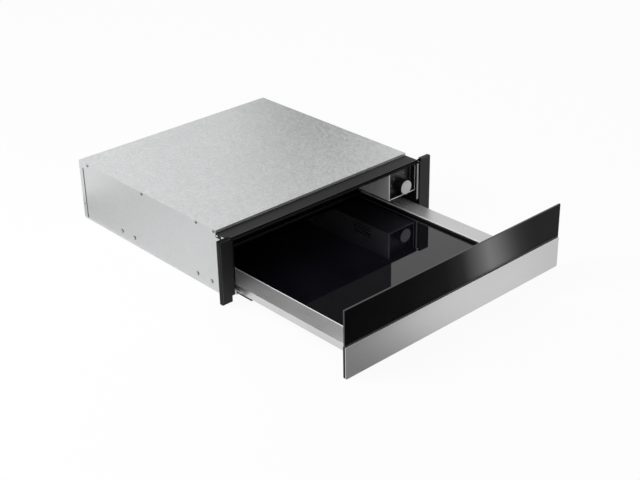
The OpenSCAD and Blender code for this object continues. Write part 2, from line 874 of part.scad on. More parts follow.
// Side channel: rolled inner edge, flat top flange and hemmed outer skirt
module side_channel() {
    color("silver") {
        along_y(front_y, drawer_back_y - drawer_t)
            translate([flange_x + roll_r, channel_z - roll_r]) circle(r = roll_r);
        along_y(front_y, drawer_back_y) {
            translate([flange_x + roll_r, channel_z - drawer_t])
                square([flange_w - roll_r, drawer_t]);
            translate([channel_x - drawer_t, skirt_low])
                square([drawer_t, skirt_h - drawer_t]);
            translate([channel_x - drawer_t - hem_t, skirt_low]) square([hem_t, 3]);
        }
    }
}

module left_channel() { on_left() side_channel(); }
module right_channel() { side_channel(); }

// Rear wall of the drawer, with a folded top edge
module drawer_back() {
    fold = 12;
    color("silver") {
        block(-tray_x, tray_x, drawer_back_y - drawer_t, drawer_back_y, tray_z,
              channel_z - drawer_t);
        block(-flange_x, flange_x, drawer_back_y - fold, drawer_back_y,
              channel_z - drawer_t, channel_z);
    }
}

// Black glass plate that dishes stand on
module glass_plate() {
    color("black") block(-plate_x, plate_x, front_y + 2, drawer_back_y - drawer_t - 2,
                         plate_low, plate_top);
}

// Ribbed gasket between the plate and the channels
module plate_gasket() {
    rib_count = 3;
    gasket_h = channel_z - drawer_t - plate_top;
    gasket_x = flange_x + 2 * roll_r;
    cross_h = channel_z - 2 * roll_r - plate_top - 0.2;
    y0 = front_y + 2;
    y1 = drawer_back_y - drawer_t - 2;
    color("black") {
        on_both() {
            block(gasket_x, gasket_x + gasket_t, y0, y1, plate_top,
                  plate_top + gasket_h);
            for (i = [0 : rib_count - 1])
                block(gasket_x - 1, gasket_x, y0, y1, plate_top + 0.3 + i * 1.7,
                      plate_top + 1.2 + i * 1.7);
        }
        for (y = [y0, y1 - gasket_t])
            block(-gasket_x, gasket_x, y, y + gasket_t, plate_top, plate_top + cross_h);
    }
}

// Silicone strips that the plate rests on
module plate_supports() {
    outer_x = plate_x - support_w;
    color("dimgray") for (x = [-outer_x, -plate_x / 3, plate_x / 3, outer_x])
        for (i = [0 : 3])
            block(x - support_w / 2, x + support_w / 2, support_y + i * support_pitch,
                  support_y + i * support_pitch + support_len, tray_z + drawer_t,
                  plate_low);
}

// The front's outline in X and Z up to a height, with round lower corners
module front_outline(high) {
    lower_z = front_low + corner_r;
    translate([-front_x, lower_z]) square([front_w, high - lower_z]);
    translate([-front_x + corner_r, front_low]) square([front_w - 2 * corner_r, corner_r]);
    for (side = [-1, 1])
        translate([side * (front_x - corner_r), lower_z]) circle(r = corner_r);
}

// Black carrier: a thin plate behind the glass and a ribbed shell behind the steel
module front_carrier() {
    ribs = 6;
    rib_t = 2;
    bay = (front_w - 2 * carrier_rim - rib_t * (ribs - 1)) / ribs;
    color("dimgray") {
        block(-front_x + carrier_in, front_x - carrier_in, glass_back, front_y,
              steel_top, front_top - carrier_in);
        difference() {
            along_y(steel_back, front_y) front_outline(steel_top);
            for (i = [0 : ribs - 1])
                block(-front_x + carrier_rim + i * (bay + rib_t),
                      -front_x + carrier_rim + i * (bay + rib_t) + bay, steel_back - 1,
                      glass_back, front_low + carrier_rim + corner_r,
                      steel_top - carrier_rim);
            on_both() for (x = clamp_xs)
                rod_y(x, glass_back - 1, front_y + 1, clamp_z, stem_d + 2 * stem_gap);
        }
    }
}

// Black glass above the steel
module front_glass() {
    color("black") block(-front_x, front_x, glass_y, glass_back, steel_top, front_top);
}

// Steel sheet of the front, hemmed round its edges, with round lower corners
module front_steel() {
    hem = 6;
    color("silver") difference() {
        along_y(steel_y, steel_back) front_outline(steel_top);
        block(-front_x + hem, front_x - hem, steel_y + steel_t, steel_back + 1,
              front_low + hem, steel_top - hem);
    }
}

// Brackets that join the channels to the carrier, with a nose below the skirt
module corner_brackets() {
    leg = 26;
    bracket_t = 1.5;
    top = channel_z - drawer_t;
    back_x = outer_web_x - run;
    color("gray") on_both() {
        block(tray_x + 3, back_x, front_y, front_y + bracket_t, skirt_low - 5, top);
        block(back_x - bracket_t, back_x, front_y + bracket_t, front_y + 5,
              skirt_low - 5, top);
        rod_y(back_x - 2.5, front_y, front_y + 5, skirt_low - 4.6, 5);
        block(tray_x + 3, back_x - bracket_t, front_y + bracket_t, front_y + leg / 5,
              top - bracket_t, top);
    }
}

// Screws that hold the tray's front wall to the carrier
module front_screws() {
    color("lightgray") on_both() for (x = clamp_xs) {
        rod_y(x, glass_back - 1.5, front_y + drawer_t, clamp_z, stem_d);
        translate([x, front_y + drawer_t, clamp_z]) rotate([-90, 0, 0])
            cylinder(h = clamp_t, d1 = head_d, d2 = head_d - 2);
    }
}

// Striker plate on the drawer's back that the latch's plunger meets
module latch_striker() {
    half = 8;
    color("gray") block(latch_x - half, latch_x + half, drawer_back_y,
                        drawer_back_y + striker_t, latch_z - 5, latch_z + half);
}

base_pan();
left_side_panel();
right_side_panel();
top_cover();
rear_panel();
front_frame();
cover_screws();
rear_screws();
runner_rivets();
cavity_liner();
liner_edge_trim();
insulation_mat();
front_bumpers();
control_box();
control_fascia();
thermostat();
thermostat_shaft();
knob_body();
knob_cap();
fan_motor();
fan_wheel();
heating_element();
terminal_box();
cable_gland();
latch_housing();
latch_plunger();
left_outer_rail();
left_outer_cage();
left_middle_rail();
left_inner_cage();
left_inner_rail();
right_outer_rail();
right_outer_cage();
right_middle_rail();
right_inner_cage();
right_inner_rail();
drawer_tray();
left_channel();
right_channel();
drawer_back();
glass_plate();
plate_gasket();
plate_supports();
front_carrier();
front_glass();
front_steel();
corner_brackets();
front_screws();
latch_striker();
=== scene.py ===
"""Finish, fittings and studio for a built-in warming drawer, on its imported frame."""

import json
import math
from contextlib import contextmanager

import bmesh
import bpy
from bpy.props import (FloatProperty, FloatVectorProperty, IntProperty,
                       PointerProperty)
from mathutils import Matrix, Vector

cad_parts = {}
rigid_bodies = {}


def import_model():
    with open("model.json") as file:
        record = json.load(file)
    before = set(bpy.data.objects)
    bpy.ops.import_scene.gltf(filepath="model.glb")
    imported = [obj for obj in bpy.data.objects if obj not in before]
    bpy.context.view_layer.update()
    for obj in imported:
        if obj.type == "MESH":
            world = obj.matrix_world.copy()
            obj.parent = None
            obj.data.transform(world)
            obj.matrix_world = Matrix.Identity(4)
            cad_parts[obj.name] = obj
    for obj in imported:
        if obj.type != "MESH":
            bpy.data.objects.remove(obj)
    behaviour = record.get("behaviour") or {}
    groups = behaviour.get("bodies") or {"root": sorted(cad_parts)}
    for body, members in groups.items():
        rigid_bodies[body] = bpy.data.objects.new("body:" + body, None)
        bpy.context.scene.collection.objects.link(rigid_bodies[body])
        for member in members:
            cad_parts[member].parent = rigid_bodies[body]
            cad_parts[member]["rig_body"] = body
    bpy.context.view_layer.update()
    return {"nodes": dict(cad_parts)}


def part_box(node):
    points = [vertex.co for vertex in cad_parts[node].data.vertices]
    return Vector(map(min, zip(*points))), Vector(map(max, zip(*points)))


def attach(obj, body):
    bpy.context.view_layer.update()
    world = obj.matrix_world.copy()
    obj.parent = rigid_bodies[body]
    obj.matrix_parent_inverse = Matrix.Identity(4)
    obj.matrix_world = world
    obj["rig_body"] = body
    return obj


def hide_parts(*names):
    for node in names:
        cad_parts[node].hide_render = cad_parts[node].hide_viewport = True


bl_info = {
    "name": "Warming Drawer Finish",
    "version": (1, 0, 0),
    "blender": (4, 5, 0),
    "location": "View3D > Sidebar > Warming Drawer",
    "description": "Fits, finishes and lights a built-in warming drawer",
    "category": "Object",
}

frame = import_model()
NODES = frame["nodes"]
MM = 0.001

SIDES = (-1.0, 1.0)
WRAP_WIDTH = 12 * MM  # the rear panel's wrap round each side
WRAP_DROP = 15.6 * MM  # from the rear panel's top down to the wrap's upper end
WRAP_PIN_IN = 6 * MM  # from the rear face to the pin in the wrap
WRAP_PIN_UP = 36 * MM
STRIP_DROP = 6.5 * MM  # from the flanges' top down to the top strip
TAB_RIVET = (-220 * MM, 129.4 * MM)  # its place along Y and Z
CHANNEL_TOP = 35.5 * MM
ROLL_WIDTH = 2.3 * MM  # of a channel's rolled inner edge
MIRROR_FALL = 0.874  # how far the camera's rays fall on a metre in front of the drawer
TO_FRONT = (math.pi / 2, 0.0, 0.0)  # turns what looks up to look out of the front


# ---- settings


def length(name, description, default):
    """A size that the user can change, in metres."""
    return FloatProperty(name=name, description=description, default=default,
                         min=0.0, unit='LENGTH', precision=5)


def share(name, description, default, high=1.0):
    """A plain factor."""
    return FloatProperty(name=name, description=description, default=default,
                         min=0.0, max=high)


def rotation(name, description, degrees):
    """An angle, given in degrees."""
    return FloatProperty(name=name, description=description, subtype='ANGLE',
                         default=math.radians(degrees))


def colour(name, description, default):
    """A linear colour."""
    return FloatVectorProperty(name=name, description=description, size=3,
                               subtype='COLOR', min=0.0, max=1.0, default=default)


class SheetSettings(bpy.types.PropertyGroup):
    fold_radius: length("Fold radius", "Rounding along the folds of the sheet steel", 0.45 * MM)
    coat_radius: length("Coat radius", "Rounding of the coated frame's edges", 0.35 * MM)
    spangle: length("Spangle", "Size of one zinc crystal", 3.8 * MM)
    zinc: colour("Zinc", "Galvanised sheet", (0.60, 0.605, 0.61))
    coat: colour("Coat", "Black coat of the frame", (0.007, 0.007, 0.007))
    liner: colour("Liner", "Coat of the cavity", (0.006, 0.006, 0.007))
    box: colour("Control box", "Pale sheet of the control box", (0.80, 0.80, 0.80))
    # The seam's dark strip is painted shadow, for the shade in the gap beside the rear wrap.
    seam: length("Seam", "Width of the painted shadow along the seam beside the rear wrap", 1.3 * MM)


class ScrewSettings(bpy.types.PropertyGroup):
    head: length("Head", "Diameter of a cover screw's head", 6.6 * MM)
    rise: length("Rise", "Height of a cover screw's head", 1.4 * MM)
    slot: length("Slot", "Width of the cross recess", 1.0 * MM)
    steel: colour("Steel", "Screws and rivets", (0.30, 0.30, 0.31))
    # This dark colour is painted shade: the shaded rims of rivets, the hole in each wrap, the
    # gap beside each wrap, the frame's outer edge and the box's mouth.
    dark: colour("Painted shade", "Painted shade on rivet rims, pins, seams and edges", (0.012, 0.012, 0.012))
    rivet: length("Rivet", "Diameter of a runner rivet's head", 8.0 * MM)


class DialSettings(bpy.types.PropertyGroup):
    ring: length("Ring", "Distance of the dial's figures from the knob's axis", 27.5 * MM)
    figure: length("Figure", "Height of a figure on the dial", 5.0 * MM)
    count: IntProperty(name="Count", description="Number of figures on the dial",
                       default=4, min=1, max=9)
    first: rotation("First", "Angle of the first figure", 12.0)
    step: rotation("Step", "Angle between two figures", 33.0)
    ink: colour("Ink", "Print on the dial", (0.62, 0.62, 0.62))
    disc: colour("Disc", "Silver disc of the knob", (0.42, 0.42, 0.43))


class DrawerSettings(bpy.types.PropertyGroup):
    edge: length("Plate edge", "Ground edge of the glass plate", 0.9 * MM)
    steel: colour("Steel", "Channels and tray", (0.57, 0.57, 0.575))
    # The skirts' lighter, more metallic copy of the channel steel is painted sheen.
    skirt: colour("Skirt", "Painted sheen on the channels' skirts", (0.62, 0.62, 0.625))
    # The rolled edge's pale colour is a painted highlight.
    roll: colour("Rolled edge", "Painted highlight on the channels' rolled edge", (0.80, 0.80, 0.80))
    glass: colour("Glass", "Black glass plate", (0.004, 0.004, 0.006))


class FrontSettings(bpy.types.PropertyGroup):
    glass_edge: length("Glass edge", "Ground edge of the front glass", 0.5 * MM)
    steel_edge: length("Steel edge", "Rounding round the steel front", 0.9 * MM)
    steel: colour("Steel", "Brushed steel of the front", (0.56, 0.56, 0.56))
    glass: colour("Glass", "Glass of the front", (0.0035, 0.0035, 0.0035))


class StudioSettings(bpy.types.PropertyGroup):
    target: FloatVectorProperty(name="Target", description="Point that the camera looks at",
                                size=3, subtype='TRANSLATION',
                                default=(-0.03119, -0.25879, 0.050))
    distance: length("Distance", "Camera's distance from its target", 2.55695)
    azimuth: rotation("Azimuth", "Camera's turn to the left of the front", 42.12)
    elevation: rotation("Elevation", "Camera's height angle", 27.46)
    roll: rotation("Roll", "Camera's turn about its own axis", -1.23)
    lens: FloatProperty(name="Lens", description="Focal length in millimetres on a 36 mm film",
                        default=70.163, min=1.0)
    floor: colour("Floor", "Plain floor", (0.80, 0.80, 0.80))
    floor_white: share("Floor white", "Share of plain white that the floor shows", 0.92)
    sky: share("Sky", "Level of the soft light from all round", 0.70, 4.0)
    key: share("Key", "Power of the large soft lamp, in watts", 22.0, 500.0)
    band: share("Band", "Level of the bright band that the front glass mirrors", 2.2, 10.0)


# ---- helpers


def settle():
    """Leave edit mode and deselect everything."""
    if bpy.context.mode != 'OBJECT':
        bpy.ops.object.mode_set(mode='OBJECT')
    bpy.ops.object.select_all(action='DESELECT')


def hold(piece):
    """Make one piece the selected and active one."""
    settle()
    piece.select_set(True)
    bpy.context.view_layer.objects.active = piece
    return piece


@contextmanager
def editing(piece):
    """Edit mode on one piece, for as long as the block lasts."""
    hold(piece)
    bpy.ops.object.mode_set(mode='EDIT')
    yield
    bpy.ops.object.mode_set(mode='OBJECT')


def named(name):
    """Give the active piece and its mesh a name."""
    piece = bpy.context.active_object
    piece.name = name
    piece.data.name = name
    return piece


def baked(piece):
    """Put a piece's place, turn and size into its mesh."""
    hold(piece)
    bpy.ops.object.transform_apply(location=True, rotation=True, scale=True)
    return piece


def block(name, low, high):
    """A block between two corners, to be shaped further."""
    low, high = Vector(low), Vector(high)
    settle()
    bpy.ops.mesh.primitive_cube_add(size=1.0, location=(low + high) / 2, scale=high - low)
    return baked(named(name))


def side_block(name, side, span, low, high):
    """A block on one side, from its span outward and its corners' places along Y and Z."""
    left, right = sorted(side * end for end in span)
    return block(name, (left, *low), (right, *high))


def disc(name, centre, radius, depth, turn=(0.0, 0.0, 0.0), sides=24):
    """A round blank with its axis along Z before the turn, to be shaped further."""
    settle()
    bpy.ops.mesh.primitive_cylinder_add(vertices=sides, radius=radius, depth=depth,
                                        location=centre, rotation=turn)
    return baked(named(name))


def choose(kind, test):
    """Select the edit mesh's faces or edges that pass a test."""
    mesh = bpy.context.active_object.data
    bpy.ops.mesh.select_mode(type=kind)
    bpy.ops.mesh.select_all(action='DESELECT')
    shape = bmesh.from_edit_mesh(mesh)
    for part in (shape.faces if kind == 'FACE' else shape.edges):
        if test(part):
            part.select_set(True)
    shape.select_flush_mode()
    bmesh.update_edit_mesh(mesh)


def shape_edges(piece, test, width, segments=2):
    """Bevel the edges that pass a test."""
    with editing(piece):
        choose('EDGE', test)
        bpy.ops.mesh.bevel(offset=width, offset_type='OFFSET', segments=segments,
                           affect='EDGES')
    return piece


def all_edges(edge):
    """A test that every edge passes."""
    return True


def edges_longer(axis, least):
    """A test for the edges that run further than a length along one axis."""
    return lambda edge: abs((edge.verts[0].co - edge.verts[1].co)[axis]) > least


def modified(piece, kind, **values):
    """Add one modifier with its values and apply it."""
    hold(piece)
    modifier = piece.modifiers.new(kind, kind)
    for key, value in values.items():
        setattr(modifier, key, value)
    bpy.ops.object.modifier_apply(modifier=modifier.name)
    return piece


def cut(piece, cutter):
    """Take one piece's room out of another."""
    modified(piece, 'BOOLEAN', operation='DIFFERENCE', solver='EXACT', object=cutter)
    bpy.data.objects.remove(cutter)


def smooth(piece, angle=30.0):
    """Shade the rounded parts smooth and keep the flats flat."""
    hold(piece)
    bpy.ops.object.shade_smooth_by_angle(angle=math.radians(angle))
    return modified(piece, 'WEIGHTED_NORMAL', mode='FACE_AREA', weight=100, keep_sharp=True)


def join(pieces, name):
    """Join pieces into one."""
    hold(pieces[0])
    for piece in pieces:
        piece.select_set(True)
    bpy.ops.object.join()
    return named(name)


def dress(piece, material):
    """Give a piece one finish all over."""
    piece.data.materials.clear()
    piece.data.materials.append(material)
    for face in piece.data.polygons:
        face.material_index = 0
    return piece


def second_tone(piece, tone, test):
    """Give the faces that pass a test another finish."""
    piece.data.materials.append(finish(tone))
    for face in piece.data.polygons:
        if test(face):
            face.material_index = len(piece.data.materials) - 1
    return piece


def body_of(node):
    return NODES[node]["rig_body"]


def middle_of(node):
    low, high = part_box(node)
    return (low + high) / 2


def fit(piece, node, slot, tone=None):
    """Dress an added piece and let it ride where a CAD node rides."""
    dress(piece, finish(tone or slot))
    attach(piece, body_of(node))
    return piece


def mount(piece, node, slot, tone=None):
    """Dress a piece and let it stand for a CAD node."""
    fit(piece, node, slot, tone)
    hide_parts(node)
    return piece


def rounded(node, name, slot, width, tone=None, segments=2):
    """A copy of a CAD node with its sharp edges rounded, which stands for the node."""
    settle()
    source = NODES[node]
    copy = bpy.data.objects.new(name, source.data.copy())
    bpy.context.scene.collection.objects.link(copy)
    with editing(copy):
        bpy.ops.mesh.select_all(action='SELECT')
        bpy.ops.mesh.remove_doubles(threshold=0.00001)
        bpy.ops.mesh.dissolve_limited(angle_limit=math.radians(0.5))
    modified(copy, 'BEVEL', width=width, segments=segments, limit_method='ANGLE',
             angle_limit=math.radians(40.0))
    smooth(copy, 35.0)
    return mount(copy, node, slot, tone)


def finish_node(node, tone):
    """Give a CAD node that stays its finish."""
    shown = NODES[node]
    if not shown.material_slots:
        shown.data.materials.append(finish(tone))
    for place in shown.material_slots:
        place.material = finish(tone)


# ---- finishes


class Recipe:
    """One finish under construction: its shader and the patterns that feed it."""

    def __init__(self, name, tint, metal, rough, **constants):
        self.material = bpy.data.materials.new(name)
        self.material.use_nodes = True
        self.material.diffuse_color = (*tint, 1.0)
        self.tree = self.material.node_tree
        self.shader = self.tree.nodes["Principled BSDF"]
        self.tint = tuple(tint)
        self.set("Base Color", (*tint, 1.0))
        self.set("Metallic", metal)
        self.set("Roughness", rough)
        for socket, value in constants.items():
            self.set(socket.replace("_", " "), value)
        self.place = self.node("TexCoord").outputs["Object"]
        self.relief = None

    def set(self, socket, value):
        self.shader.inputs[socket].default_value = value

    def link(self, source, target):
        self.tree.links.new(source, target)

    def node(self, kind, **inputs):
        """A new shader node with some of its sockets set."""
        made = self.tree.nodes.new("ShaderNode" + kind)
        for socket, value in inputs.items():
            made.inputs[socket.replace("_", " ")].default_value = value
        return made

    def show(self, shader):
        """Let the surface show another shader."""
        self.link(shader, self.tree.nodes["Material Output"].inputs["Surface"])

    def mapped(self, stretch=(1.0, 1.0, 1.0), centre=(0.0, 0.0, 0.0), turn=(0.0, 0.0, 0.0)):
        """Object coordinates, stretched, turned and centred."""
        mapping = self.node("Mapping", Location=centre, Rotation=turn, Scale=stretch)
        mapping.vector_type = 'TEXTURE'
        self.link(self.place, mapping.inputs["Vector"])
        return mapping.outputs["Vector"]

    def cloud(self, size, detail=2.0, stretch=(1.0, 1.0, 1.0), **where):
        """Soft noise whose features are about one size across."""
        noise = self.node("TexNoise", Scale=1.0 / size, Detail=detail)
        self.link(self.mapped(stretch, **where), noise.inputs["Vector"])
        return noise.outputs["Fac"]

    def crystals(self, size, stretch=(1.0, 1.0, 1.0)):
        """One plain random value for each crystal."""
        cells = self.node("TexVoronoi", Scale=1.0 / size)
        self.link(self.mapped(stretch), cells.inputs["Vector"])
        pick = self.node("SeparateColor")
        self.link(cells.outputs["Color"], pick.inputs["Color"])
        return pick.outputs["Red"]

    def span(self, value, low, high, start=0.3, end=0.7):
        """A value carried from one span to another."""
        step = self.node("MapRange", From_Min=start, From_Max=end, To_Min=low, To_Max=high)
        self.link(value, step.inputs["Value"])
        return step.outputs["Result"]

    def mixed(self, first, second, share):
        """Two patterns in one."""
        blend = self.node("Mix", Factor=share)
        self.link(first, blend.inputs[2])
        self.link(second, blend.inputs[3])
        return blend.outputs[0]

    def shade(self, pattern, dark, light, start=0.3, end=0.7):
        """Let a pattern move the colour between two tones of the tint."""
        ramp = self.node("ValToRGB")
        low, high = ramp.color_ramp.elements
        low.position, high.position = start, end
        low.color = (*[c * dark for c in self.tint], 1.0)
        high.color = (*[min(1.0, c * light) for c in self.tint], 1.0)
        self.link(pattern, ramp.inputs["Fac"])
        self.link(ramp.outputs["Color"], self.shader.inputs["Base Color"])
        return ramp

    def gloss(self, pattern, low, high, start=0.3, end=0.7):
        """Let a pattern move the roughness."""
        self.link(self.span(pattern, low, high, start, end), self.shader.inputs["Roughness"])

    def raise_(self, pattern, height, strength=1.0):
        """Let a pattern raise the surface by a height in metres."""
        bump = self.node("Bump", Distance=height, Strength=strength)
        self.link(pattern, bump.inputs["Height"])
        if self.relief is not None:
            self.link(self.relief, bump.inputs["Normal"])
        self.relief = bump.outputs["Normal"]
        self.link(self.relief, self.shader.inputs["Normal"])


def galvanised(name, tint, spangle, contrast=1.0):
    """Hot-dip zinc: flat crystals, each with its own tone and gloss, and faint streaks."""
    zinc = Recipe(name, tint, 0.6, 0.42)
    crystal = zinc.crystals(spangle, (1.0, 1.35, 1.0))
    small = zinc.crystals(spangle * 0.55, (1.3, 1.0, 1.0))
    streak = zinc.cloud(40 * MM, 3.0, (3.0, 1.0, 3.0))
    grain = zinc.mixed(crystal, small, 0.40)
    zinc.shade(zinc.mixed(grain, streak, 0.2), 1.0 - 0.13 * contrast, 1.0 + 0.11 * contrast,
               0.15, 0.85)
    zinc.gloss(grain, 0.42 - 0.08 * contrast, 0.42 + 0.08 * contrast, 0.1, 0.9)
    zinc.raise_(zinc.cloud(1.6 * MM, 2.0), 0.02 * MM, 0.35)
    return zinc.material


def powder_coat(name, tint, rough, level=0.2, peel=0.05):
    """Satin black coat with its fine orange peel and a little dust in the gloss."""
    coat = Recipe(name, tint, 0.0, rough, Specular_IOR_Level=level)
    patch = coat.cloud(60 * MM, 3.0)
    coat.shade(patch, 0.85, 1.2)
    coat.gloss(coat.mixed(patch, coat.cloud(0.8 * MM, 2.0), 0.5), rough - 0.05, rough + 0.07)
    coat.raise_(coat.cloud(0.9 * MM, 2.0), peel * MM, 0.25)
    return coat.material


def brushed(name, tint, rough, along=0, line=0.25 * MM, run=60.0):
    """Steel brushed in one direction: long fine lines in tone, gloss and relief."""
    steel = Recipe(name, tint, 1.0, rough)
    stretch = [1.0, 1.0, 1.0]
    stretch[along] = run
    lines = steel.cloud(line, 3.0, stretch)
    wide = steel.cloud(line * 6, 2.0, stretch)
    both = steel.mixed(lines, wide, 0.4)
    steel.shade(both, 0.97, 1.03)
    steel.gloss(both, rough - 0.03, rough + 0.04)
    steel.raise_(lines, 0.006 * MM, 0.25)
    return steel.material


def satin_steel(name, tint, rough, metal=1.0):
    """Rolled sheet with a soft cloudy tone and faint rolling lines."""
    steel = Recipe(name, tint, metal, rough)
    cloud = steel.cloud(25 * MM, 4.0, (1.0, 3.0, 1.0))
    lines = steel.cloud(0.5 * MM, 2.0, (1.0, 50.0, 1.0))
    steel.shade(steel.mixed(cloud, lines, 0.35), 0.94, 1.05)
    steel.gloss(cloud, rough - 0.05, rough + 0.05)
    steel.raise_(lines, 0.008 * MM, 0.25)
    return steel.material


def black_glass(name, tint, rough, level):
    """Opaque glass with a polished face and the faintest haze of wiping."""
    glass = Recipe(name, tint, 0.0, rough, IOR=1.5, Specular_IOR_Level=level)
    haze = glass.cloud(50 * MM, 3.0, (1.0, 2.0, 1.0))
    glass.shade(haze, 0.8, 1.25)
    glass.gloss(haze, rough, rough + 0.02)
    return glass.material


def moulded(name, tint, rough, grain=0.6 * MM, depth=0.03):
    """Moulded plastic or rubber with a spark-eroded grain."""
    plastic = Recipe(name, tint, 0.0, rough)
    fine = plastic.cloud(grain, 2.0)
    patch = plastic.cloud(30 * MM, 2.0)
    plastic.shade(plastic.mixed(patch, fine, 0.3), 0.88, 1.12)
    plastic.gloss(fine, rough - 0.06, rough + 0.06)
    plastic.raise_(fine, depth * MM, 0.4)
    return plastic.material


def turned(name, tint, rough, axis_place):
    """Metal turned on a lathe: fine rings round the knob's axis."""
    metal = Recipe(name, tint, 1.0, rough)
    rings = metal.node("TexWave", Scale=320.0, Distortion=0.6, Detail=1.0)
    rings.wave_type = 'RINGS'
    rings.rings_direction = 'Y'
    metal.link(metal.mapped(centre=axis_place), rings.inputs["Vector"])
    speck = metal.cloud(1.2 * MM, 2.0)
    metal.shade(metal.mixed(rings.outputs["Fac"], speck, 0.55), 0.9, 1.1, 0.25, 0.75)
    metal.gloss(speck, rough - 0.04, rough + 0.08)
    metal.raise_(rings.outputs["Fac"], 0.01 * MM, 0.3)
    return metal.material


def wool(name, tint):
    """Pressed mineral wool: short lying fibres and a lumpy skin."""
    mat = Recipe(name, tint, 0.0, 0.95)
    fibres = mat.cloud(0.9 * MM, 4.0, (7.0, 1.0, 1.0))
    cross = mat.cloud(1.1 * MM, 4.0, (1.0, 6.0, 1.0), turn=(0.0, 0.0, 0.5))
    both = mat.mixed(fibres, cross, 0.5)
    mat.shade(both, 0.65, 1.3, 0.35, 0.65)
    mat.raise_(both, 0.6 * MM, 0.9)
    return mat.material


def heat_tinted(name, tint):
    """Fins tinted straw to blue where they have run hot."""
    fin = Recipe(name, tint, 1.0, 0.4)
    glow = fin.cloud(18 * MM, 3.0)
    ramp = fin.shade(glow, 0.8, 1.2)
    middle = ramp.color_ramp.elements.new(0.5)
    middle.color = (0.46, 0.36, 0.24, 1.0)
    fin.gloss(glow, 0.3, 0.5)
    fin.raise_(fin.cloud(1.0 * MM, 2.0), 0.02 * MM, 0.3)
    return fin.material


FINISHES = {}


def finish(slot):
    """The finish of one material slot, made when it is first asked for."""
    if slot in FINISHES:
        return FINISHES[slot]
    scene = bpy.context.scene
    sheet, screw, dial = scene.wd_sheet, scene.wd_screw, scene.wd_dial
    drawer, front = scene.wd_drawer, scene.wd_front
    knob_centre = middle_of("knob_cap")
    make = {
        "galvanised": lambda: galvanised("galvanised_sheet", sheet.zinc, sheet.spangle),
        "black_coat": lambda: powder_coat("black_coat", sheet.coat, 0.42),
        "screw_steel": lambda: satin_steel("screw_steel", screw.steel, 0.38),
        "liner_black": lambda: powder_coat("liner_coat", sheet.liner, 0.5, 0.08, 0.03),
        "bright_edge": lambda: brushed("bright_edge", (0.30, 0.30, 0.30), 0.45, 2),
        "mineral_wool": lambda: wool("mineral_wool", (0.52, 0.48, 0.30)),
        "rubber_black": lambda: moulded("black_rubber", (0.012, 0.012, 0.012), 0.55),
        "box_steel": lambda: satin_steel("box_sheet", sheet.box, 0.5, 0.15),
        "fascia_black": lambda: moulded("black_plastic", (0.010, 0.010, 0.010), 0.36,
                                        0.5 * MM, 0.02),
        "white_plastic": lambda: moulded("white_plastic", (0.74, 0.74, 0.71), 0.42),
        "shaft_steel": lambda: turned("shaft_steel", (0.55, 0.55, 0.55), 0.3, knob_centre),
        "knob_silver": lambda: turned("knob_disc", dial.disc, 0.42, knob_centre),
        "fan_aluminium": lambda: satin_steel("fan_aluminium", (0.62, 0.62, 0.62), 0.4),
        "heater": lambda: heat_tinted("heater_fins", (0.45, 0.42, 0.40)),
        "grey_plastic": lambda: moulded("grey_plastic", (0.20, 0.20, 0.21), 0.45),
        "rail_steel": lambda: satin_steel("rail_zinc", (0.60, 0.61, 0.62), 0.3),
        "ball_cage": lambda: satin_steel("ball_steel", (0.70, 0.70, 0.70), 0.15),
        "drawer_steel": lambda: satin_steel("drawer_sheet", drawer.steel, 0.30, 0.58),
        # A near-white finish that paints highlights on edges, hems, beads and small rivets.
        "painted_highlight_pale": lambda: satin_steel("painted_highlight_pale", (0.92, 0.92, 0.92), 0.4, 0.1),
        # A paler coat that paints the highlight along the frame's folds.
        "fold_highlight_paint": lambda: powder_coat("painted_fold_highlight_coat", (0.055, 0.055, 0.055), 0.4, 0.35),
        # A near-black steel for the middle rails.
        "dark_rail": lambda: satin_steel("near_black_rail", (0.02, 0.02, 0.02), 0.35),
        # A lighter copy of the channel steel that paints sheen on the skirts.
        "skirt_painted_sheen": lambda: satin_steel("skirt_sheen_paint", drawer.skirt, 0.28, 0.92),
        "side_zinc": lambda: galvanised("side_sheet", sheet.zinc, sheet.spangle, 0.3),
        # A pale finish that paints the highlight on the channels' rolled edges.
        "painted_roll_highlight": lambda: satin_steel("roll_painted_highlight", drawer.roll, 0.35, 0.2),
        # Painted shade: a matte near-black finish for rims, holes, gaps and recesses that stand
        # in shade.
        "painted_shade_black": lambda: powder_coat("painted_shade_matte", screw.dark, 0.5, 0.1, 0.02),
        "black_glass": lambda: black_glass("plate_glass", drawer.glass, 0.02, 0.42),
        # A pale finish that paints the highlight on the front steel's top edge.
        "painted_ledge_highlight": lambda: satin_steel("painted_ledge_highlight", (0.92, 0.92, 0.92), 0.25, 0.9),
        "front_glass_black": lambda: black_glass("front_glass", front.glass, 0.08, 0.6),
        "brushed_front": lambda: brushed("front_steel", front.steel, 0.30, 0),
        "ink": lambda: moulded("dial_ink", dial.ink, 0.6, 0.3 * MM, 0.01),
    }
    FINISHES[slot] = make[slot]()
    return FINISHES[slot]


# ---- pieces


def head_blank(name, radius, rise, rounding):
    """A round blank that looks up, with its upper rim rounded."""
    blank = disc(name, (0.0, 0.0, 0.0), radius, rise, sides=36)
    return shape_edges(blank, lambda edge: all(v.co.z > 0 for v in edge.verts)
                       and edge.calc_face_angle(0.0) > 1.0, rounding, 4)


def stood(head, centre, outward):
    """A finished head, moved to its place and turned outward."""
    smooth(head, 35.0)
    turn = Vector((0.0, 0.0, 1.0)).rotation_difference(Vector(outward))
    head.matrix_world = Matrix.Translation(Vector(centre)) @ turn.to_matrix().to_4x4()
    return baked(head)


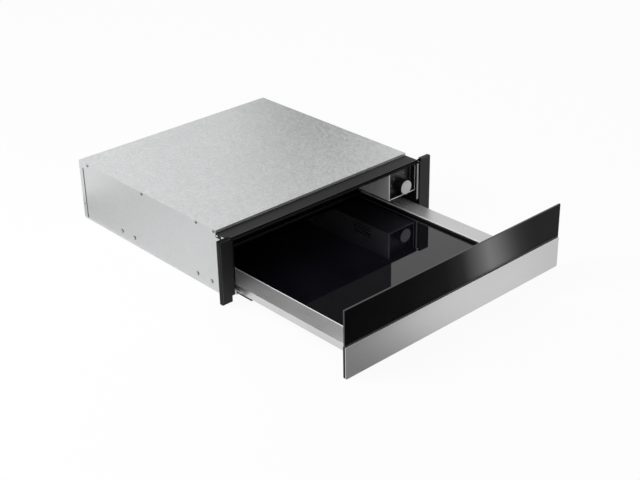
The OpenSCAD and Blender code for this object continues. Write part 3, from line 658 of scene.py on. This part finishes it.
def pan_head(name, centre, outward, width, rise, slot_width):
    """A screw head with a domed rim and a cross recess, looking along one axis."""
    screw = head_blank(name, width / 2, rise, rise * 0.62)
    for turn_z in (0.0, math.pi / 2):
        settle()
        bpy.ops.mesh.primitive_cube_add(size=1.0, location=(0.0, 0.0, rise / 2),
                                        rotation=(0.0, 0.0, turn_z),
                                        scale=(width * 0.56, slot_width, rise * 1.1))
        cut(screw, baked(named(name + "_cut")))
    return stood(screw, centre, outward)


def rivet_head(name, centre, outward, width, rise):
    """A flat rivet head with a rounded rim and the dimple of its drawn pin."""
    radius = width / 2
    rivet = head_blank(name, radius, rise, rise * 0.85)
    with editing(rivet):
        choose('FACE', lambda face: face.normal.z > 0.99)
        bpy.ops.mesh.inset(thickness=radius * 0.25)
        bpy.ops.mesh.inset(thickness=radius * 0.03)
        bpy.ops.mesh.extrude_region_move(
            TRANSFORM_OT_translate={"value": (0.0, 0.0, -rise * 0.4)})
    return stood(rivet, centre, outward)


def islands(node):
    """The box of each separate solid of a CAD node."""
    shape = bmesh.new()
    shape.from_mesh(NODES[node].data)
    bmesh.ops.remove_doubles(shape, verts=shape.verts, dist=0.00001)
    left = set(shape.verts)
    boxes = []
    while left:
        queue = [left.pop()]
        group = []
        while queue:
            vert = queue.pop()
            group.append(vert.co.copy())
            for edge in vert.link_edges:
                other = edge.other_vert(vert)
                if other in left:
                    left.remove(other)
                    queue.append(other)
        low = Vector([min(co[i] for co in group) for i in range(3)])
        high = Vector([max(co[i] for co in group) for i in range(3)])
        boxes.append((low, high))
    shape.free()
    return sorted(boxes, key=lambda box: tuple(box[0]))


def heads_for(node, name, axis, maker, width, rise, *more):
    """One steel head at the outer end of each solid of a node, all in one piece."""
    heads = []
    for number, (low, high) in enumerate(islands(node)):
        middle = (low + high) / 2
        outward = Vector((0.0, 0.0, 0.0))
        outward[axis] = 1.0 if axis == 1 or middle[axis] > 0 else -1.0
        outer = high[axis] if outward[axis] > 0 else low[axis]
        centre = middle.copy()
        centre[axis] = outer - outward[axis] * rise / 2
        heads.append(maker(f"{name}_{number}", centre, outward, width, rise, *more))
    return mount(join(heads, name), node, "screw_steel")


class WD_OT_housing(bpy.types.Operator):
    """Finish the galvanised housing: floor, sides, top cover and rear panel"""
    bl_idname = "warming_drawer.housing"
    bl_label = "Housing"

    def execute(self, context):
        radius = context.scene.wd_sheet.fold_radius
        for node in ("base_pan", "left_side_panel", "right_side_panel", "rear_panel"):
            rounded(node, node + "_sheet", "galvanised", radius * 0.8, "side_zinc")
        cover = rounded("top_cover", "top_cover_sheet", "galvanised", radius)
        second_tone(cover, "side_zinc", lambda face: abs(face.normal.x) > 0.9)
        rounded("terminal_box", "terminal_box_case", "white_plastic", 1.0 * MM)
        finish_node("cable_gland", "fascia_black")
        self.seams(context.scene.wd_sheet.seam)
        return {'FINISHED'}

    def seams(self, width):
        """A dark strip beside each rear wrap that paints the shadow in its gap, and a dark pin
        in the wrap's hole that paints the hole's shade.
        """
        low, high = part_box("rear_panel")
        wall = -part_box("left_side_panel")[0].x
        edge = high.y - WRAP_WIDTH
        beads, pins = [], []
        for side in SIDES:
            bead = side_block(f"seam_{side:.0f}", side, (wall - 0.05 * MM, wall + 0.7 * MM),
                              (edge - width, low.z + 1 * MM), (edge, high.z - WRAP_DROP))
            beads.append(shape_edges(bead, edges_longer(2, 50 * MM), 0.25 * MM))
            place = (side * (wall + 0.35 * MM), high.y - WRAP_PIN_IN, WRAP_PIN_UP)
            pins.append(rivet_head(f"pin_{side:.0f}", place, (side, 0.0, 0.0), 3.8 * MM,
                                   0.7 * MM))
        # Both are dressed in the matte painted-shade black.
        for pieces, name in ((beads, "wrap_seam_shadows"), (pins, "wrap_hole_shades")):
            fit(smooth(join(pieces, name)), "rear_panel", "black_coat", "painted_shade_black")


class WD_OT_frame(bpy.types.Operator):
    """Finish the black frame round the opening"""
    bl_idname = "warming_drawer.frame"
    bl_label = "Front frame"

    def execute(self, context):
        coated = rounded("front_frame", "front_frame_coated", "black_coat",
                         context.scene.wd_sheet.coat_radius)
        low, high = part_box("front_frame")
        # Painted shade: the frame's outermost faces get the matte painted-shade black, darker
        # than the coat, along the flanges' outer edge.
        outer = high.x - 1.2 * MM
        second_tone(coated, "painted_shade_black", lambda face: abs(face.center.x) > outer)
        wall = -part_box("left_side_panel")[0].x
        self.webs(low, high, wall)
        self.edge_lines(low, high, wall)
        self.tab_rivets()
        return {'FINISHED'}

    def webs(self, low, high, wall):
        """The upright web in each upper corner, from the cheek to behind the flange."""
        webs = []
        for side in SIDES:
            web = side_block(f"web_{side:.0f}", side, (wall - 1.2 * MM, wall + 12.5 * MM),
                             (low.y + 8.9 * MM, high.z - 15 * MM),
                             (low.y + 10.1 * MM, high.z - 3.4 * MM))
            webs.append(shape_edges(web, all_edges, 0.25 * MM))
        fit(smooth(join(webs, "corner_webs")), "front_frame", "black_coat")

    def edge_lines(self, low, high, wall):
        """A pale line along the folded edges of the flanges and the top strip, a painted
        highlight where the folds catch the light.
        """
        fold, face = low.y - 0.25 * MM, low.y + 0.1 * MM
        lines = []
        for side in SIDES:
            lines.append(side_block(
                f"upright_{side:.0f}", side, (high.x - 1.6 * MM, high.x - 2.7 * MM),
                (fold, low.z + 4 * MM), (face, high.z - 2.4 * MM)))
            lines.append(side_block(
                f"cross_{side:.0f}", side, (wall + 2 * MM, high.x - 2.7 * MM),
                (fold, high.z - 2.6 * MM), (face, high.z - 1.5 * MM)))
        top = high.z - STRIP_DROP
        lines.append(block("strip_front", (-wall + 8 * MM, low.y + 11.1 * MM, top - 0.1 * MM),
                           (wall - 8 * MM, low.y + 12.0 * MM, top + 0.15 * MM)))
        for line in lines:
            shape_edges(line, all_edges, 0.08 * MM)
        fit(smooth(join(lines, "frame_painted_highlight_lines")), "front_frame", "black_coat", "fold_highlight_paint")

    def tab_rivets(self):
        """The small rivet that holds each tab of the frame to the housing, dressed pale as a
        painted highlight.
        """
        side_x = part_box("rear_panel")[1].x + 0.25 * MM
        rivets = [rivet_head(f"tab_{side:.0f}", (side * side_x, *TAB_RIVET),
                             (side, 0.0, 0.0), 3.6 * MM, 0.9 * MM) for side in SIDES]
        fit(join(rivets, "tab_rivets"), "front_frame", "screw_steel", "painted_highlight_pale")


class WD_OT_cavity(bpy.types.Operator):
    """Finish the dark cavity with its edge strip and the wool above it"""
    bl_idname = "warming_drawer.cavity"
    bl_label = "Cavity"

    def execute(self, context):
        rounded("cavity_liner", "cavity_liner_coated", "liner_black",
                context.scene.wd_sheet.coat_radius)
        rounded("liner_edge_trim", "liner_edge_strip", "bright_edge", 0.3 * MM)
        rounded("insulation_mat", "insulation_wool", "mineral_wool", 1.0 * MM)
        return {'FINISHED'}


class WD_OT_fastenings(bpy.types.Operator):
    """Model the cross-head screws and the rivets of the housing"""
    bl_idname = "warming_drawer.fastenings"
    bl_label = "Fastenings"

    def execute(self, context):
        screw = context.scene.wd_screw
        for node, axis in (("cover_screws", 0), ("rear_screws", 1)):
            heads_for(node, node[:-1] + "_heads", axis, pan_head, screw.head, screw.rise,
                      screw.slot)
        rivets = heads_for("runner_rivets", "rivet_heads", 0, rivet_head, screw.rivet,
                           screw.rise)
        # Painted light: the sides of each rivet head get the painted-shade black, and its flat
        # faces the paler zinc as a painted highlight.
        second_tone(rivets, "painted_shade_black", lambda face: abs(face.normal.x) < 0.97)
        second_tone(rivets, "galvanised", lambda face: abs(face.normal.x) > 0.97)
        return {'FINISHED'}


class WD_OT_controls(bpy.types.Operator):
    """Finish the control box, its fascia and knob, and print the dial"""
    bl_idname = "warming_drawer.controls"
    bl_label = "Controls"

    def execute(self, context):
        dial = context.scene.wd_dial
        box = rounded("control_box", "control_box_sheet", "box_steel", 0.25 * MM)
        # Painted highlight: the box's front edge and the first 3 mm of its walls get the pale
        # highlight finish.
        front_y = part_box("control_box")[0].y
        second_tone(box, "painted_highlight_pale", lambda face: face.center.y < front_y + 3 * MM)
        self.surround()
        rounded("control_fascia", "control_fascia_plate", "fascia_black", 0.3 * MM)
        rounded("thermostat", "thermostat_case", "white_plastic", 0.4 * MM)
        finish_node("thermostat_shaft", "shaft_steel")
        finish_node("knob_body", "fascia_black")
        self.cap()
        self.figures(dial)
        return {'FINISHED'}

    def surround(self):
        """The black rim that lines the box's mouth, in the matte finish that paints the
        recess's shade, and the hem round it, dressed pale as a painted highlight.
        """
        low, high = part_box("control_box")
        plate_low, plate_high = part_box("control_fascia")
        rim = block("fascia_rim",
                    (plate_low.x + 0.1 * MM, low.y + 1.2 * MM, plate_low.z + 0.1 * MM),
                    (plate_high.x - 0.1 * MM, plate_low.y - 0.1 * MM, high.z - 0.2 * MM))
        with editing(rim):
            choose('FACE', lambda face: abs(face.normal.y) > 0.99)
            bpy.ops.mesh.delete(type='FACE')
        modified(rim, 'SOLIDIFY', thickness=0.8 * MM, offset=-1.0, use_even_offset=True)
        modified(rim, 'BEVEL', width=0.2 * MM, segments=2, limit_method='ANGLE')
        fit(smooth(rim), "control_fascia", "fascia_black", "painted_shade_black")
        left = plate_low.x - 1 * MM
        hem = join([
            self.hem("hem_left", 2, (left - 0.3 * MM, low.y - 0.3 * MM, low.z),
                     (left + 2.0 * MM, low.y + 0.9 * MM, high.z - 0.3 * MM)),
            self.hem("hem_foot", 0, (left + 2.0 * MM, low.y - 0.2 * MM, low.z),
                     (high.x, low.y + 0.9 * MM, low.z + 1.7 * MM))], "box_hem")
        fit(hem, "control_box", "box_steel", "painted_highlight_pale")

    def hem(self, name, along, low, high):
        """One rolled hem along the box's mouth."""
        strip = block(name, low, high)
        return smooth(shape_edges(strip, edges_longer(along, 10 * MM), 0.45 * MM, 4), 40.0)

    def cap(self):
        """The silver disc: a turned blank with a rounded rim and a sunk dot."""
        low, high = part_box("knob_cap")
        centre = (low + high) / 2
        radius = (high.x - low.x) / 2
        dot_z = centre.z + radius - 3.6 * MM
        cap = disc("knob_disc", centre, radius, high.y - low.y, TO_FRONT, 96)
        shape_edges(cap, lambda edge: all(v.co.y < centre.y for v in edge.verts)
                    and edge.calc_face_angle(0.0) > 1.0, 0.45 * MM, 3)
        cut(cap, disc("dot_cut", (centre.x, low.y, dot_z), 1.2 * MM, 1.2 * MM, TO_FRONT))
        mount(smooth(cap, 35.0), "knob_cap", "knob_silver")
        ink = disc("knob_dot", (centre.x, low.y + 0.55 * MM, dot_z), 1.15 * MM, 0.08 * MM,
                   TO_FRONT)
        shape_edges(ink, lambda edge: edge.calc_face_angle(0.0) > 1.0, 0.02 * MM, 1)
        fit(ink, "knob_cap", "fascia_black")

    def figures(self, dial):
        """Plain figures round the knob, printed on the fascia."""
        axis = middle_of("knob_cap")
        face_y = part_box("control_fascia")[0].y
        figures = []
        for number in range(dial.count):
            angle = dial.first + (number - 1) * dial.step
            place = (axis.x - dial.ring * math.sin(angle), face_y - 0.02 * MM,
                     axis.z + dial.ring * math.cos(angle))
            settle()
            bpy.ops.object.text_add(location=place, rotation=TO_FRONT)
            text = bpy.context.active_object
            text.data.body = str(number)
            text.data.size = dial.figure
            text.data.align_x = 'CENTER'
            text.data.align_y = 'CENTER'
            text.data.extrude = 0.02 * MM
            text.data.offset = 0.00002
            bpy.ops.object.convert(target='MESH')
            figures.append(baked(named(f"figure_{number}")))
        fit(join(figures, "dial_figures"), "control_fascia", "white_plastic", "ink")


class WD_OT_heating(bpy.types.Operator):
    """Finish the motor, fan wheel and air heater"""
    bl_idname = "warming_drawer.heating"
    bl_label = "Fan and heater"

    def execute(self, context):
        rounded("fan_motor", "fan_motor_body", "grey_plastic", 0.8 * MM)
        finish_node("fan_wheel", "fan_aluminium")
        finish_node("heating_element", "heater")
        return {'FINISHED'}


class WD_OT_latch(bpy.types.Operator):
    """Finish the push latch and its striker"""
    bl_idname = "warming_drawer.latch"
    bl_label = "Latch"

    def execute(self, context):
        rounded("latch_housing", "latch_case", "grey_plastic", 0.6 * MM)
        rounded("latch_striker", "striker_plate", "screw_steel", 0.3 * MM)
        finish_node("latch_plunger", "white_plastic")
        return {'FINISHED'}


class WD_OT_runners(bpy.types.Operator):
    """Finish the telescopic runners on both sides"""
    bl_idname = "warming_drawer.runners"
    bl_label = "Runners"

    def execute(self, context):
        for side in ("left", "right"):
            for rail in ("outer", "middle", "inner"):
                node = f"{side}_{rail}_rail"
                tone = "dark_rail" if rail == "middle" else "rail_steel"
                rounded(node, node + "_rolled", "rail_steel", 0.25 * MM, tone)
            for cage in ("outer", "inner"):
                finish_node(f"{side}_{cage}_cage", "ball_cage")
        return {'FINISHED'}


class WD_OT_drawer(bpy.types.Operator):
    """Finish the drawer's tray, channels, gasket and glass plate"""
    bl_idname = "warming_drawer.drawer"
    bl_label = "Drawer"

    def execute(self, context):
        rounded("drawer_tray", "drawer_tray_sheet", "drawer_steel", 0.3 * MM)
        rounded("drawer_back", "drawer_back_sheet", "drawer_steel", 0.3 * MM, "liner_black")
        for node in ("left_channel", "right_channel"):
            inner = self.inner(node)[1] + ROLL_WIDTH
            channel = rounded(node, node + "_sheet", "drawer_steel", 0.3 * MM)
            # Painted highlight: the faces along the rolled inner edge get the pale finish.
            second_tone(channel, "painted_roll_highlight", lambda face: abs(face.center.x) < inner)
            # Painted sheen: the outer skirts get the lighter, more metallic copy of the channel
            # steel.
            second_tone(channel, "skirt_painted_sheen",
                        lambda face: abs(face.center.x) > inner and abs(face.normal.x) > 0.6)
        self.beads()
        rounded("plate_gasket", "plate_gasket_rubber", "rubber_black", 0.15 * MM)
        rounded("plate_supports", "plate_support_strips", "rubber_black", 0.5 * MM)
        low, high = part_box("glass_plate")
        plate = block("glass_plate_ground", low, high)
        shape_edges(plate, all_edges, context.scene.wd_drawer.edge, 3)
        mount(smooth(plate, 35.0), "glass_plate", "black_glass")
        return {'FINISHED'}

    def inner(self, node):
        """The side that a channel is on, and its inner edge's distance from the middle."""
        low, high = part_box(node)
        return (1.0 if low.x > 0 else -1.0), min(abs(low.x), abs(high.x))

    def beads(self):
        """A bead along the inner edge of each channel, dressed pale as a painted highlight."""
        for node in ("left_channel", "right_channel"):
            low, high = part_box(node)
            side, inner = self.inner(node)
            bead = side_block(node + "_bead", side, (inner + 0.1 * MM, inner + 1.9 * MM),
                              (low.y + 6 * MM, CHANNEL_TOP - 0.4 * MM),
                              (high.y - 6 * MM, CHANNEL_TOP + 0.45 * MM))
            shape_edges(bead, edges_longer(1, 50 * MM), 0.35 * MM, 4)
            fit(smooth(bead, 50.0), node, "drawer_steel", "painted_highlight_pale")


class WD_OT_front(bpy.types.Operator):
    """Model the front: glass above, brushed steel below, carrier and brackets behind"""
    bl_idname = "warming_drawer.front"
    bl_label = "Front"

    def execute(self, context):
        front = context.scene.wd_front
        rounded("front_glass", "front_glass_pane", "front_glass_black", front.glass_edge,
                segments=3)
        sheet = rounded("front_steel", "front_steel_sheet", "brushed_front",
                        front.steel_edge, segments=3)
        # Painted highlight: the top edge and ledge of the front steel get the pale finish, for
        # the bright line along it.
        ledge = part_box("front_steel")[1].z - front.steel_edge * 1.02
        second_tone(sheet, "painted_ledge_highlight", lambda face: face.center.z > ledge)
        rounded("front_carrier", "front_carrier_plate", "black_coat", 0.3 * MM)
        rounded("corner_brackets", "corner_bracket_pair", "screw_steel", 0.3 * MM)
        finish_node("front_bumpers", "rubber_black")
        heads_for("front_screws", "front_screw_heads", 1, pan_head, 8.0 * MM, 1.6 * MM,
                  1.1 * MM)
        return {'FINISHED'}


# ---- stage


def soft_lamp(name, place, aim, size, power):
    """A square lamp that looks at a point and isn't seen by the camera."""
    lamp = bpy.data.lights.new(name, 'AREA')
    lamp.shape = 'RECTANGLE'
    lamp.size = size
    lamp.size_y = size
    lamp.energy = power
    holder = bpy.data.objects.new(name, lamp)
    bpy.context.scene.collection.objects.link(holder)
    toward = (Vector(aim) - Vector(place)).to_track_quat('-Z', 'Y')
    holder.matrix_world = Matrix.Translation(Vector(place)) @ toward.to_matrix().to_4x4()
    holder.visible_camera = False


def card(name, corner, along, up, stops, strength=1.0, lean=(1.0, 0.0, 0.0), start=0.0):
    """A four-cornered card, graded along a direction, that only gloss sees."""
    corner, along, up = Vector(corner), Vector(along), Vector(up)
    settle()
    bpy.ops.mesh.primitive_plane_add(size=1.0)
    sheet = bpy.context.active_object
    across, rise = along - corner, up - corner
    normal = across.cross(rise).normalized()
    sheet.matrix_world = (Matrix.Translation((along + up) / 2)
                          @ Matrix((across, rise, normal)).transposed().to_4x4())
    sheet = baked(named(name))
    grade = Recipe(name, (0.1, 0.1, 0.1), 0.0, 0.9)
    place = grade.node("VectorMath")
    place.operation = 'DOT_PRODUCT'
    place.inputs[1].default_value = lean
    grade.link(grade.place, place.inputs[0])
    low, high = stops[0][0], stops[-1][0]
    share_of = grade.span(place.outputs["Value"], 0.0, 1.0, low - start, high - start)
    ramp = grade.node("ValToRGB")
    while len(ramp.color_ramp.elements) < len(stops):
        ramp.color_ramp.elements.new(0.5)
    for stop, (at, level) in zip(ramp.color_ramp.elements, stops):
        stop.position = (at - low) / (high - low)
        stop.color = (level, level, level, 1.0)
    grade.link(share_of, ramp.inputs["Fac"])
    glow = grade.node("Emission", Strength=strength)
    grade.link(ramp.outputs["Color"], glow.inputs["Color"])
    grade.show(glow.outputs["Emission"])
    dress(sheet, grade.material)
    for rays in ("camera", "diffuse", "shadow", "transmission"):
        setattr(sheet, "visible_" + rays, False)
    return sheet


def flat(level):
    """The stops of a card that has one tone all over."""
    return ((0.0, level), (0.1, level))


def seeing_rays(tree):
    """1 for rays of the camera, of gloss and of transmission, and 0 for the others."""
    path = tree.nodes.new("ShaderNodeLightPath")
    value = path.outputs["Is Camera Ray"]
    for kind in ("Is Glossy Ray", "Is Transmission Ray"):
        either = tree.nodes.new("ShaderNodeMath")
        either.operation = 'MAXIMUM'
        tree.links.new(value, either.inputs[0])
        tree.links.new(path.outputs[kind], either.inputs[1])
        value = either.outputs[0]
    return value


class WD_OT_stage(bpy.types.Operator):
    """Set up the pale floor, the soft light and the camera"""
    bl_idname = "warming_drawer.stage"
    bl_label = "Studio"

    def execute(self, context):
        studio = context.scene.wd_studio
        self.camera(context.scene, studio)
        self.floor(studio)
        self.surround(context.scene, studio)
        soft_lamp("window_left", (-1.5, 0.3, 1.5), (-0.2, 0.0, 0.1), 1.2, studio.key)
        self.cards(studio)
        context.scene.view_settings.view_transform = 'Standard'
        return {'FINISHED'}

    def camera(self, scene, studio):
        """The camera, turned about its target."""
        side, up = studio.azimuth, studio.elevation
        back = Vector((-math.sin(side) * math.cos(up), -math.cos(side) * math.cos(up),
                       math.sin(up)))
        across = Vector((math.cos(side), -math.sin(side), 0.0))
        above = back.cross(across)
        turned_across = across * math.cos(studio.roll) + above * math.sin(studio.roll)
        turned_above = above * math.cos(studio.roll) - across * math.sin(studio.roll)
        axes = Matrix((turned_across, turned_above, back)).transposed().to_4x4()
        place = Vector(studio.target) + back * studio.distance
        lens = bpy.data.cameras.new("camera")
        lens.lens = studio.lens
        lens.sensor_width = 36.0
        lens.sensor_fit = 'HORIZONTAL'
        lens.clip_start = 0.05
        lens.clip_end = 50.0
        holder = bpy.data.objects.new("camera", lens)
        scene.collection.objects.link(holder)
        holder.matrix_world = Matrix.Translation(place) @ axes
        scene.camera = holder

    def floor(self, studio):
        """A wide pale floor that shows white and keeps the soft shadow."""
        settle()
        bpy.ops.mesh.primitive_plane_add(size=14.0, location=(0.0, 0.0, -0.0002))
        floor = baked(named("floor"))
        with editing(floor):
            bpy.ops.mesh.select_all(action='SELECT')
            bpy.ops.mesh.subdivide(number_cuts=3)
        paint = Recipe("floor_paint", studio.floor, 0.0, 0.9)
        paint.shade(paint.cloud(0.8, 2.0), 0.995, 1.005)
        glow = paint.node("Emission", Color=(1.0, 1.0, 1.0, 1.0))
        part = paint.node("Math")
        part.operation = 'MULTIPLY'
        part.inputs[1].default_value = studio.floor_white
        paint.link(seeing_rays(paint.tree), part.inputs[0])
        both = paint.node("MixShader")
        paint.link(part.outputs[0], both.inputs["Fac"])
        paint.link(paint.shader.outputs["BSDF"], both.inputs[1])
        paint.link(glow.outputs["Emission"], both.inputs[2])
        paint.show(both.outputs["Shader"])
        dress(floor, paint.material)

    def surround(self, scene, studio):
        """A white surround for the camera and for gloss, and softer light from it."""
        world = bpy.data.worlds.new("surround")
        world.use_nodes = True
        scene.world = world
        tree = world.node_tree
        back = tree.nodes["Background"]
        back.inputs["Color"].default_value = (1.0, 1.0, 1.0, 1.0)
        level = tree.nodes.new("ShaderNodeMapRange")
        level.inputs["To Min"].default_value = studio.sky
        level.inputs["To Max"].default_value = 1.0
        tree.links.new(seeing_rays(tree), level.inputs["Value"])
        tree.links.new(level.outputs["Result"], back.inputs["Strength"])

    def front_card(self, name, near, far, *grade, **where):
        """A card that lies between two lines (Y, Z) before the front, and follows it."""
        left, right = -0.50, 0.80
        sheet = card(name, (left, *near), (right, *near), (left, *far), *grade, **where)
        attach(sheet, body_of("front_glass"))

    def cards(self, studio):
        """Graded cards that only gloss sees, as a product studio sets them."""
        glass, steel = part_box("front_glass")[0].y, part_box("front_steel")
        near, fold = steel[0].y - 0.5 * MM, steel[1].z + 0.2 * MM
        reach = near - (fold - 1 * MM) / MIRROR_FALL
        dusk = ((-0.255, 0.33), (-0.214, 0.38), (-0.173, 0.47), (-0.132, 0.58),
                (-0.091, 0.72), (-0.050, 0.84), (0.010, 0.94), (0.074, 0.985),
                (0.200, 0.96), (0.320, 0.87))
        self.front_card("steel_grade", (near, 1 * MM), (reach, 1 * MM), dusk)
        self.front_card("steel_grade_above", (near, fold), (reach, 1.5 * MM), dusk)
        self.front_card("steel_shade", (near, fold + 1 * MM), (reach - 1 * MM, 2 * MM),
                        flat(0.005))
        line = ((-0.173, 0.007), (-0.010, 0.019), (0.100, 0.045), (0.154, 0.12),
                (0.209, 0.64), (0.235, 0.97), (0.261, 0.77), (0.301, 0.36),
                (0.327, 0.19), (0.353, 0.12), (0.380, 0.092), (0.471, 0.09))
        self.front_card("glass_grade", (reach - 1 * MM, 1 * MM), (glass - 0.60, 1 * MM), line,
                        studio.band, lean=(1.0, 0.98, 0.0), start=-0.98 * (glass - 0.123))
        card("plate_shade", (-0.262, -0.2565, 0.1315), (0.262, -0.2565, 0.1315),
             (-0.262, -0.2565, 0.1425), flat(0.004))
        card("plate_flag", (-0.36, -0.2526, 0.1318), (0.185, -0.2526, 0.1318),
             (-0.36, -0.2526, 0.33), ((-0.36, 0.05), (0.156, 0.09)))
        card("cover_grade", (-0.45, 0.32, 0.02), (0.79, 0.32, 0.02), (-0.45, 0.32, 0.545),
             ((-0.13, 1.0), (0.20, 0.86), (0.36, 0.50), (0.52, 0.22), (0.66, 0.34),
              (0.79, 0.60)))
        card("side_grade", (-0.268, -0.25, 1 * MM), (-0.80, -0.25, 1 * MM),
             (-0.268, 0.60, 1 * MM), ((-0.20, 0.92), (0.05, 0.80), (0.30, 0.50)),
             lean=(0.0, 1.0, 0.0))


OPERATORS = (WD_OT_housing, WD_OT_frame, WD_OT_cavity, WD_OT_fastenings, WD_OT_controls,
             WD_OT_heating, WD_OT_latch, WD_OT_runners, WD_OT_drawer, WD_OT_front,
             WD_OT_stage)

SETTINGS = {
    "wd_sheet": SheetSettings,
    "wd_screw": ScrewSettings,
    "wd_dial": DialSettings,
    "wd_drawer": DrawerSettings,
    "wd_front": FrontSettings,
    "wd_studio": StudioSettings,
}


class WD_PT_panel(bpy.types.Panel):
    """Sizes, colours and steps of the warming drawer"""
    bl_idname = "WD_PT_panel"
    bl_label = "Warming Drawer"
    bl_space_type = 'VIEW_3D'
    bl_region_type = 'UI'
    bl_category = "Warming Drawer"

    def draw(self, context):
        column = self.layout.column()
        for group in SETTINGS:
            holder = getattr(context.scene, group)
            box = column.box()
            for key in type(holder).__annotations__:
                box.prop(holder, key)
        for operator in OPERATORS:
            column.operator(operator.bl_idname)


CLASSES = (*SETTINGS.values(), *OPERATORS, WD_PT_panel)


def register():
    for group in CLASSES:
        bpy.utils.register_class(group)
    for name, group in SETTINGS.items():
        setattr(bpy.types.Scene, name, PointerProperty(type=group))


def unregister():
    for name in SETTINGS:
        delattr(bpy.types.Scene, name)
    for group in reversed(CLASSES):
        bpy.utils.unregister_class(group)


def main():
    register()
    for operator in OPERATORS:
        group, step = operator.bl_idname.split(".")
        getattr(getattr(bpy.ops, group), step)()


if __name__ == "__main__":
    main()
